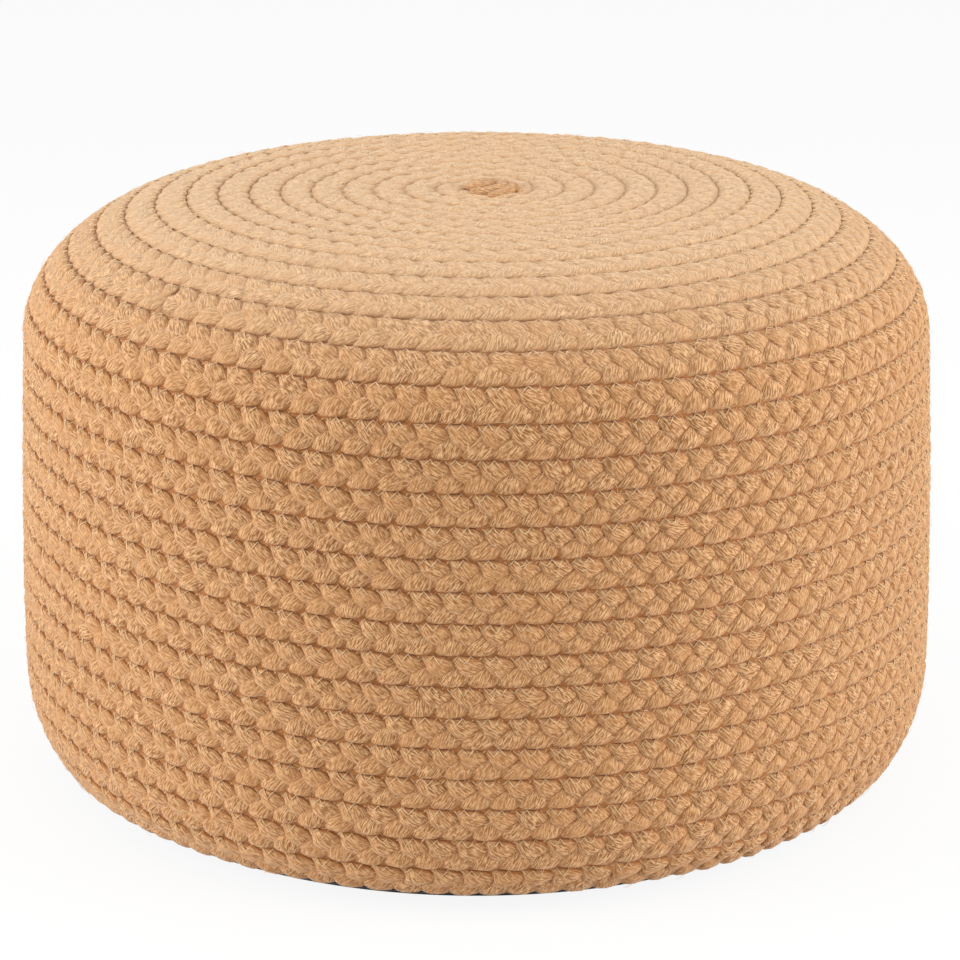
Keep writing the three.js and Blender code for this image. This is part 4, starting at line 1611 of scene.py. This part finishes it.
@dataclass
class Zip:
    """The zip's hard pieces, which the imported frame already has: they only get their finishes."""

    moulded: HardFinish
    enamelled: HardFinish

    def build(self) -> None:
        """Gives the teeth and stops one finish, and the slider and its pull the other."""
        moulded, enamelled = self.moulded.material(), self.enamelled.material()
        for name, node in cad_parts.items():
            finish = enamelled if name in ("zip_slider", "zip_pull") else moulded
            if name.startswith("zip_") and "tape" not in name:
                node.data.materials.clear()
                node.data.materials.append(finish)
                log.info("%s: %s", name, finish.name)


@dataclass(frozen=True)
class Lamp:
    """A square soft box: its name, the place of its middle and its side in metres, and its power in watts."""

    name: str
    place: Spot
    size: float
    power: float


@dataclass
class Studio:
    """The camera, lamps, floor and background. Metres here."""

    target: Spot = (0.0019, 0.0, 0.152)
    distance: float = 1.68
    elevation: float = 17.76
    lens: float = 112.6
    sensor: float = 36.0
    view_depth: float = 100.0
    floor_size: float = 30.0
    floor: FloorFinish = FloorFinish("pale studio floor")
    soft_strength: float = 0.47
    seen_strength: float = 1.0
    lit: Spot = (0.0, 0.0, 0.16)
    lamps: tuple[Lamp, ...] = (
        Lamp("overhead_lamp", (0.0, 0.1, 2.2), 2.0, 16.5),
        Lamp("left_lamp", (-2.1, -0.6, 0.9), 1.4, 42.0),
        Lamp("right_lamp", (2.1, -0.6, 0.9), 1.4, 40.0),
    )

    def stand(self, name: str, data: bpy.types.ID, place: Vector, facing: Vector) -> bpy.types.Object:
        """Stands a camera or lamp in the scene.

        Args:
            name: Its name.
            data: What it is.
            place: Its place.
            facing: The direction that it faces.

        Returns:
            The object.
        """
        made = bpy.data.objects.new(name, data)
        bpy.context.scene.collection.objects.link(made)
        made.location = place
        made.rotation_mode = "QUATERNION"
        made.rotation_quaternion = facing.to_track_quat("-Z", "Y")
        return made

    def camera(self) -> None:
        """Sets the camera at the photograph's viewing angle."""
        data = bpy.data.cameras.new("camera")
        data.lens = self.lens
        data.sensor_width = self.sensor
        data.clip_end = self.view_depth
        rise = math.radians(self.elevation)
        back = Vector((0.0, -math.cos(rise), math.sin(rise)))
        place = Vector(self.target) + back * self.distance
        bpy.context.scene.camera = self.stand("camera", data, place, -back)

    def light(self) -> None:
        """Adds the lamps, which all face the pouf's middle."""
        for lamp in self.lamps:
            data = bpy.data.lights.new(lamp.name, "AREA")
            data.shape = "SQUARE"
            data.size = lamp.size
            data.energy = lamp.power
            self.stand(lamp.name, data, Vector(lamp.place), Vector(self.lit) - Vector(lamp.place))

    def world(self) -> None:
        """Makes the world a soft grey light that looks white to the camera and in reflections."""
        world = bpy.data.worlds.new("studio")
        world.use_nodes = True
        tree = world.node_tree
        tree.nodes.clear()
        rays = add_node(tree, "LightPath")
        seen = add_node(tree, "Math", {
            0: (rays, "Is Camera Ray"), 1: (rays, "Is Glossy Ray")}, operation="MAXIMUM")
        shown = add_node(tree, "Math", {
            0: (seen, 0), 1: (rays, "Is Transmission Ray")}, operation="MAXIMUM")
        soft, white = (
            add_node(tree, "Background", {"Color": WHITE, "Strength": strength})
            for strength in (self.soft_strength, self.seen_strength)
        )
        mix = add_node(tree, "MixShader", {0: (shown, 0), 1: (soft, 0), 2: (white, 0)})
        add_node(tree, "OutputWorld", {"Surface": (mix, 0)})
        bpy.context.scene.world = world

    def ground(self) -> None:
        """Lays the floor."""
        half = self.floor_size / MM / 2
        corners = np.array([[-half, -half, 0.0], [half, -half, 0.0], [half, half, 0.0], [-half, half, 0.0]])
        floor = make_piece("studio_floor", corners, np.array([[0, 1, 2, 3]]))
        floor.data.materials.append(self.floor.material())

    def build(self) -> None:
        """Sets up the whole studio."""
        self.camera()
        self.world()
        self.ground()
        self.light()
        bpy.context.scene.view_settings.view_transform = "Standard"


def main() -> None:
    """Builds the studio and the footstool's pieces."""
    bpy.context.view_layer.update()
    Studio().build()
    winding = Winding()
    yarn = YarnFinish("spun polypropylene yarn")
    thread = ThreadFinish("polyester sewing thread", colour=0xD6AD7C, pale=0xEBCDA0)
    fibre = ThreadFinish("loose polypropylene fibre", colour=0xDDB688, pale=0xF4DDBB)
    splice, last = winding.splice_turn, winding.last_turn
    top = Plait("top", "top_braid", winding.first_turn, splice, winding, yarn, seed=11)
    side = Plait("side", "side_braid", splice, last, winding, yarn, seed=37, bulge=1.2)
    for part in (
        top, side, CentreKnot(top, seed=17),
        SeamThread("top_seam_thread", top, -4.0, splice, thread, seed=3),
        SeamThread("side_seam_thread", side, splice, last, thread, seed=5),
        LooseFibres("top_fibres", top, fibre, count=1500, seed=7),
        LooseFibres("side_fibres", side, fibre, count=6000, seed=9),
    ):
        part.build()
    base = BaseCloth(
        winding, ClothFinish("dark polyester plain weave", 0x1C1F24, 0x4A4F58),
        ThreadFinish("dark polyester thread", colour=0x2A2D33, pale=0x565B64))
    base.build()
    ZipTapes(ClothFinish("dark herringbone tape", 0x1B1E23, 0x50555E, thread=1.4)).build()
    Bag(
        winding, base, ClothFinish("off-white spunbond cloth", 0xDAD7CE, 0xF3F1EB, thread=1.6, relief=0.1),
        BeadFinish("expanded polystyrene beads")).build()
    Zip(
        HardFinish("moulded acetal", 0x1B1D21, 0x3A3D43, roughness=0.42),
        HardFinish("enamelled zinc", 0x2E3035, 0x6B6E74, roughness=0.34)).build()


if __name__ == "__main__":
    main()
